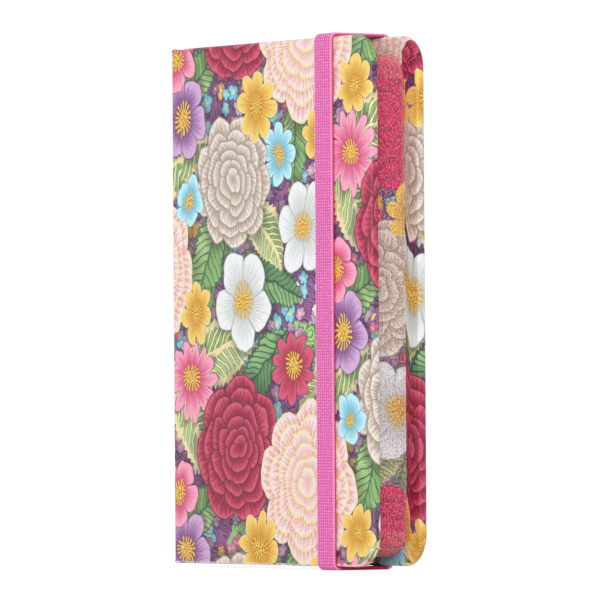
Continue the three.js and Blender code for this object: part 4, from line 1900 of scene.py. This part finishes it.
@dataclass
class ClosureBand:
    """The elastic band round the closed book, anchored in the back board."""

    plan: Plan
    finishes: Finishes
    thickness: float = 0.8 * MM
    bend: float = 1.6 * MM
    leg_bend: float = 0.55 * MM
    anchor_length: float = 10 * MM
    bend_steps: int = 6
    return_steps: int = 10
    ribs: int = 8
    rib_rise: float = 0.05 * MM
    selvedge: float = 0.16 * MM
    selvedge_steps: int = 3

    def __post_init__(self) -> None:
        """Reads from the frame where the band's middle surface runs, and where its straight parts end."""
        run_low, run_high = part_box("elastic_front_run")
        tail_low, tail_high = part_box("elastic_top_tail")
        bottom_low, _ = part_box("elastic_bottom_tail")
        half = self.thickness / 2
        self.left, self.right = run_low.x, run_high.x
        self.front, self.back = run_low.y + half, tail_high.y - half
        self.top, self.bottom = tail_high.z - half, bottom_low.z + half
        self.anchor = tail_low.y + half
        self.near, self.far = self.front + self.bend, self.back - self.bend
        self.centre = (self.top + self.bottom) / 2
        self.straight = self.top - self.centre - self.bend

    def build(self) -> None:
        """Models and dresses the band."""
        band = self.sweep("closure_band")
        self.rib(band)
        band.lay_map(self.unroll)
        # The second material, the darker webbing, is painted shade on the inner wall and on parts of the
        # sides.
        band.dress(self.finishes.elastic, self.finishes.elastic_shade)
        self.paint_edge_shade(band)
        start, end = Vector((0, -self.plan.front, 0)), Vector((0, self.plan.front, 0))
        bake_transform(band.object)
        nodes = [node for node in frame["nodes"] if node.startswith("elastic_")]
        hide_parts(*sorted(nodes))
        log.info("%s woven: %d faces", band.object.name, len(band.object.data.polygons))

    def sweep(self, name: str) -> Piece:
        """Models the band's middle surface, from the lower anchor round to the upper one.

        Args:
            name: the piece's name.

        Returns:
            The strip, without its thickness.
        """
        leg, bend = self.leg_bend, self.bend
        inner, near, far = self.anchor + leg, self.near, self.far
        low_slot, high_slot = self.plan.slot_bottom, self.plan.slot_top
        low_bend, high_bend = self.bottom + bend, self.top - bend
        low = Vector((self.left, self.anchor, low_slot + leg))
        band = Piece.sheet(name, low, Vector((self.right, self.anchor, low_slot + self.anchor_length)))
        with band.editing():
            band.pick(Part.EDGES, lambda e: lies_at(e, 2, low_slot + leg))
            self.bend_round(inner, low_slot + leg, -1)
            band.extrude((0, self.back - leg - inner, 0))
            self.bend_round(self.back - leg, low_slot - leg, 1)
            band.extrude((0, 0, low_bend - low_slot + leg))
            self.bend_round(far, low_bend, 1)
            self.extrude_evenly(band, (0, near - far, 0))
            self.bend_round(near, low_bend, 1)
            self.extrude_evenly(band, (0, 0, high_bend - low_bend))
            self.bend_round(near, high_bend, 1)
            self.extrude_evenly(band, (0, far - near, 0))
            self.bend_round(far, high_bend, 1)
            band.extrude((0, 0, high_slot + leg - high_bend))
            self.bend_round(self.back - leg, high_slot + leg, 1)
            band.extrude((0, inner - self.back + leg, 0))
            self.bend_round(inner, high_slot - leg, -1)
            band.extrude((0, 0, leg - self.anchor_length))
            band.merge()
            band.face_outwards()
        return band

    def extrude_evenly(self, band: Piece, move: tuple[float, float, float]) -> None:
        """Extrudes the selected end in equal steps.

        Args:
            band: the strip, in edit mode.
            move: how far in all.
        """
        step = tuple(length / self.return_steps for length in move)
        for _ in range(self.return_steps):
            band.extrude(step)

    def bend_round(self, y: float, z: float, way: int) -> None:
        """Spins the selected end a quarter turn round a line along X.

        Args:
            y: the line's Y.
            z: the line's Z.
            way: 1 turns it clockwise seen from the fore-edge, -1 the other way.
        """
        angle = way * math.pi / 2
        bpy.ops.mesh.spin(steps=self.bend_steps, angle=angle, center=(0, y, z), axis=(1, 0, 0))

    def rib(self, band: Piece) -> None:
        """Gives the strip its thickness, its lengthwise ribs and its rolled selvedges.

        Args:
            band: the strip.
        """
        band.thicken(self.thickness, 0, 1)
        pitch = (self.right - self.left) / self.ribs
        centre = (self.left + self.right) / 2
        crests = [centre + pitch * (i - (self.ribs - 1) / 2) for i in range(self.ribs)]
        with band.editing():
            for crest in crests:
                band.cut(lambda f: abs(f.normal.x) < 0.5, 0, crest - pitch / 4, crest, crest + pitch / 4)
            band.pick(Part.VERTICES, lambda v: min(abs(v.co.x - crest) for crest in crests) < TOUCH)
            bpy.ops.transform.shrink_fatten(value=self.rib_rise)
            band.pick(
                Part.EDGES,
                lambda e: self.at_side(e) and any(abs(f.normal.x) < 0.5 for f in e.link_faces),
            )
            bpy.ops.mesh.bevel(offset=self.selvedge, segments=self.selvedge_steps, affect="EDGES")
            band.pick(Part.EDGES, self.through_thickness)
            bpy.ops.mesh.subdivide(number_cuts=1)
        band.smooth(60)

    def at_side(self, edge: bmesh.types.BMEdge) -> bool:
        """Tells whether an edge lies on one of the band's two sides."""
        return lies_at(edge, 0, self.left) or lies_at(edge, 0, self.right)

    def through_thickness(self, edge: bmesh.types.BMEdge) -> bool:
        """Tells whether an edge of a side runs through the band's thickness, not along the selvedge."""
        beside_selvedge = any(0.3 < abs(face.normal.x) < 0.98 for face in edge.link_faces)
        return self.at_side(edge) and not beside_selvedge

    def paint_edge_shade(self, band: Piece) -> None:
        """Paints shade on the band's sides with the darker copy of the webbing: on their inner half, and
        under the foot on all of them.

        Args:
            band: the dressed band.
        """
        for face in band.object.data.polygons:
            rise = face.center.z - self.centre
            out, over = self.near - face.center.y, abs(rise) - self.straight
            distance = math.hypot(out, over) if min(out, over) > 0 else max(out, over)
            under_foot = rise < 0 and out < 0
            on_side = abs(face.normal.x) > 0.5 and face.center.y < self.far
            if on_side and (distance < self.bend or under_foot):
                face.material_index = 1

    def unroll(self, place: Vector, normal: Vector) -> tuple[float, float]:
        """Maps the band for its weave: across its width, and along its run.

        Args:
            place: a point of the band.
            normal: its face's normal; not used.

        Returns:
            Place across from the middle, and along from the middle of the front run.
        """
        bend, near, far, straight = self.bend, self.near, self.far, self.straight
        quarter = bend * math.pi / 2
        across = place.x - (self.left + self.right) / 2
        rise = place.z - self.centre
        over = abs(rise) - straight
        if place.y < near and over <= 0:
            along = abs(rise)
        elif place.y < near:
            along = straight + bend * math.atan2(over, near - place.y)
        elif place.y < far:
            along = straight + quarter + place.y - near
        elif over > 0:
            along = straight + quarter + far - near + bend * math.atan2(place.y - far, over)
        else:
            along = straight + 2 * quarter + far - near - over
        return across, math.copysign(along, rise)


# Studio


@dataclass(frozen=True)
class Lamp:
    """One soft square lamp: its name, its place, the side of its square, and its watts."""

    name: str
    place: tuple[float, float, float]
    size: float
    power: float


@dataclass
class Studio:
    """The pale floor, the soft lights and the camera."""

    azimuth: float = 55.71
    elevation: float = -0.91
    roll: float = 0.39
    distance: float = 1.916
    lens: float = 428.9
    sensor: float = 36.0
    aim: tuple[float, float, float] = (0.0, 0.0, 0.0712)
    shift: tuple[float, float] = (0.0043, 0.0043)
    daylight: float = 0.77
    backdrop: float = 1.02
    lamps: tuple[Lamp, ...] = (
        Lamp("key", (-0.8, -1.6, 1.3), 1.2, 3),
        Lamp("fill", (1.45, -1.35, 0.45), 1.4, 22),
    )
    floor_radius: float = 6.0
    floor_sides: int = 64
    floor_paint: str = "FAFAFA"
    floor_glow: float = 1.12
    floor_cover: float = 0.8
    clip: tuple[float, float] = (0.1, 20.0)
    SEEN_BY = ("Camera", "Glossy", "Transmission")

    def build(self) -> None:
        """Sets up floor, light and camera."""
        self.set_view()
        self.lay_floor()
        self.light_world()
        for lamp in self.lamps:
            self.add_lamp(lamp)
        self.add_camera()
        log.info("studio ready")

    def set_view(self) -> None:
        """Shows colours as they are written."""
        bpy.context.scene.view_settings.view_transform = "Standard"

    def lay_floor(self) -> None:
        """Lays a pale floor that shows white to the camera and keeps the book's shadow."""
        clear_selection()
        sizes = {"vertices": self.floor_sides, "radius": self.floor_radius}
        bpy.ops.mesh.primitive_circle_add(fill_type="NGON", location=(0, 0, 0), **sizes)
        floor = bpy.context.active_object
        floor.name = "floor"
        paint = ink(self.floor_paint)
        shader = Shader("floor", 0.9, Base_Color=paint, Specular_IOR_Level=0.0)
        rays = shader.node("LightPath").socket.node.outputs
        camera, glossy, through = (Value(shader, rays[f"Is {kind} Ray"]) for kind in self.SEEN_BY)
        seen = shader.math("MAXIMUM", shader.math("MAXIMUM", camera, glossy), through)
        white = {"Color": (1, 1, 1, 1), "Strength": self.floor_glow}
        glow = shader.node("Emission", inputs=white)
        matt = Value(shader, shader.surface.outputs[0])
        cover = shader.node("MixShader", inputs={0: seen * self.floor_cover, 1: matt, 2: glow})
        output = shader.tree.nodes["Material Output"]
        shader.tree.links.new(cover.socket, output.inputs["Surface"])
        floor.data.materials.append(shader.material)

    def light_world(self) -> None:
        """Lights the book softly from all round, with white behind it."""
        world = bpy.data.worlds.new("studio")
        bpy.context.scene.world = world
        world.use_nodes = True
        nodes, links = world.node_tree.nodes, world.node_tree.links
        background = nodes["Background"]
        background.inputs["Color"].default_value = (1, 1, 1, 1)
        path = nodes.new("ShaderNodeLightPath")
        first, *others = (path.outputs[f"Is {kind} Ray"] for kind in self.SEEN_BY)
        for other in others:
            highest = nodes.new("ShaderNodeMath")
            highest.operation = "MAXIMUM"
            links.new(first, highest.inputs[0])
            links.new(other, highest.inputs[1])
            first = highest.outputs[0]
        scale = nodes.new("ShaderNodeMapRange")
        scale.inputs["To Min"].default_value = self.daylight
        scale.inputs["To Max"].default_value = self.backdrop
        links.new(first, scale.inputs["Value"])
        links.new(scale.outputs[0], background.inputs["Strength"])

    def add_lamp(self, lamp: Lamp) -> None:
        """Hangs one lamp, aimed at the book.

        Args:
            lamp: the lamp.
        """
        clear_selection()
        turned = (Vector(self.aim) - Vector(lamp.place)).to_track_quat("-Z", "Y").to_euler()
        bpy.ops.object.light_add(type="AREA", location=lamp.place, rotation=turned)
        light = bpy.context.active_object
        light.name = lamp.name
        light.data.size = lamp.size
        light.data.energy = lamp.power

    def add_camera(self) -> None:
        """Puts the camera at the photograph's viewing angle."""
        turn, rise = math.radians(self.azimuth), math.radians(self.elevation)
        level = math.cos(rise)
        away = Vector((math.sin(turn) * level, -math.cos(turn) * level, math.sin(rise)))
        place = Vector(self.aim) + away * self.distance
        clear_selection()
        bpy.ops.object.camera_add(location=place)
        camera = bpy.context.active_object
        camera.name = "camera"
        camera.rotation_mode = "QUATERNION"
        upright = (-away).to_track_quat("-Z", "Y")
        camera.rotation_quaternion = Quaternion(away, -math.radians(self.roll)) @ upright
        camera.data.lens = self.lens
        camera.data.sensor_width = self.sensor
        camera.data.shift_x, camera.data.shift_y = self.shift
        camera.data.clip_start, camera.data.clip_end = self.clip
        bpy.context.scene.camera = camera


def main() -> None:
    """Builds the book and the studio in order."""
    logging.basicConfig(level=logging.INFO, format="%(name)s: %(message)s")
    plan = Plan()
    band_low, band_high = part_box("elastic_front_run")
    finishes = Finishes(band_high.x - band_low.x, ClosureBand.ribs)
    Case(plan, finishes).build()
    Papers(plan, finishes).build()
    Lining(plan, finishes).build()
    ClosureBand(plan, finishes).build()
    Studio().build()


if __name__ == "__main__":
    main()
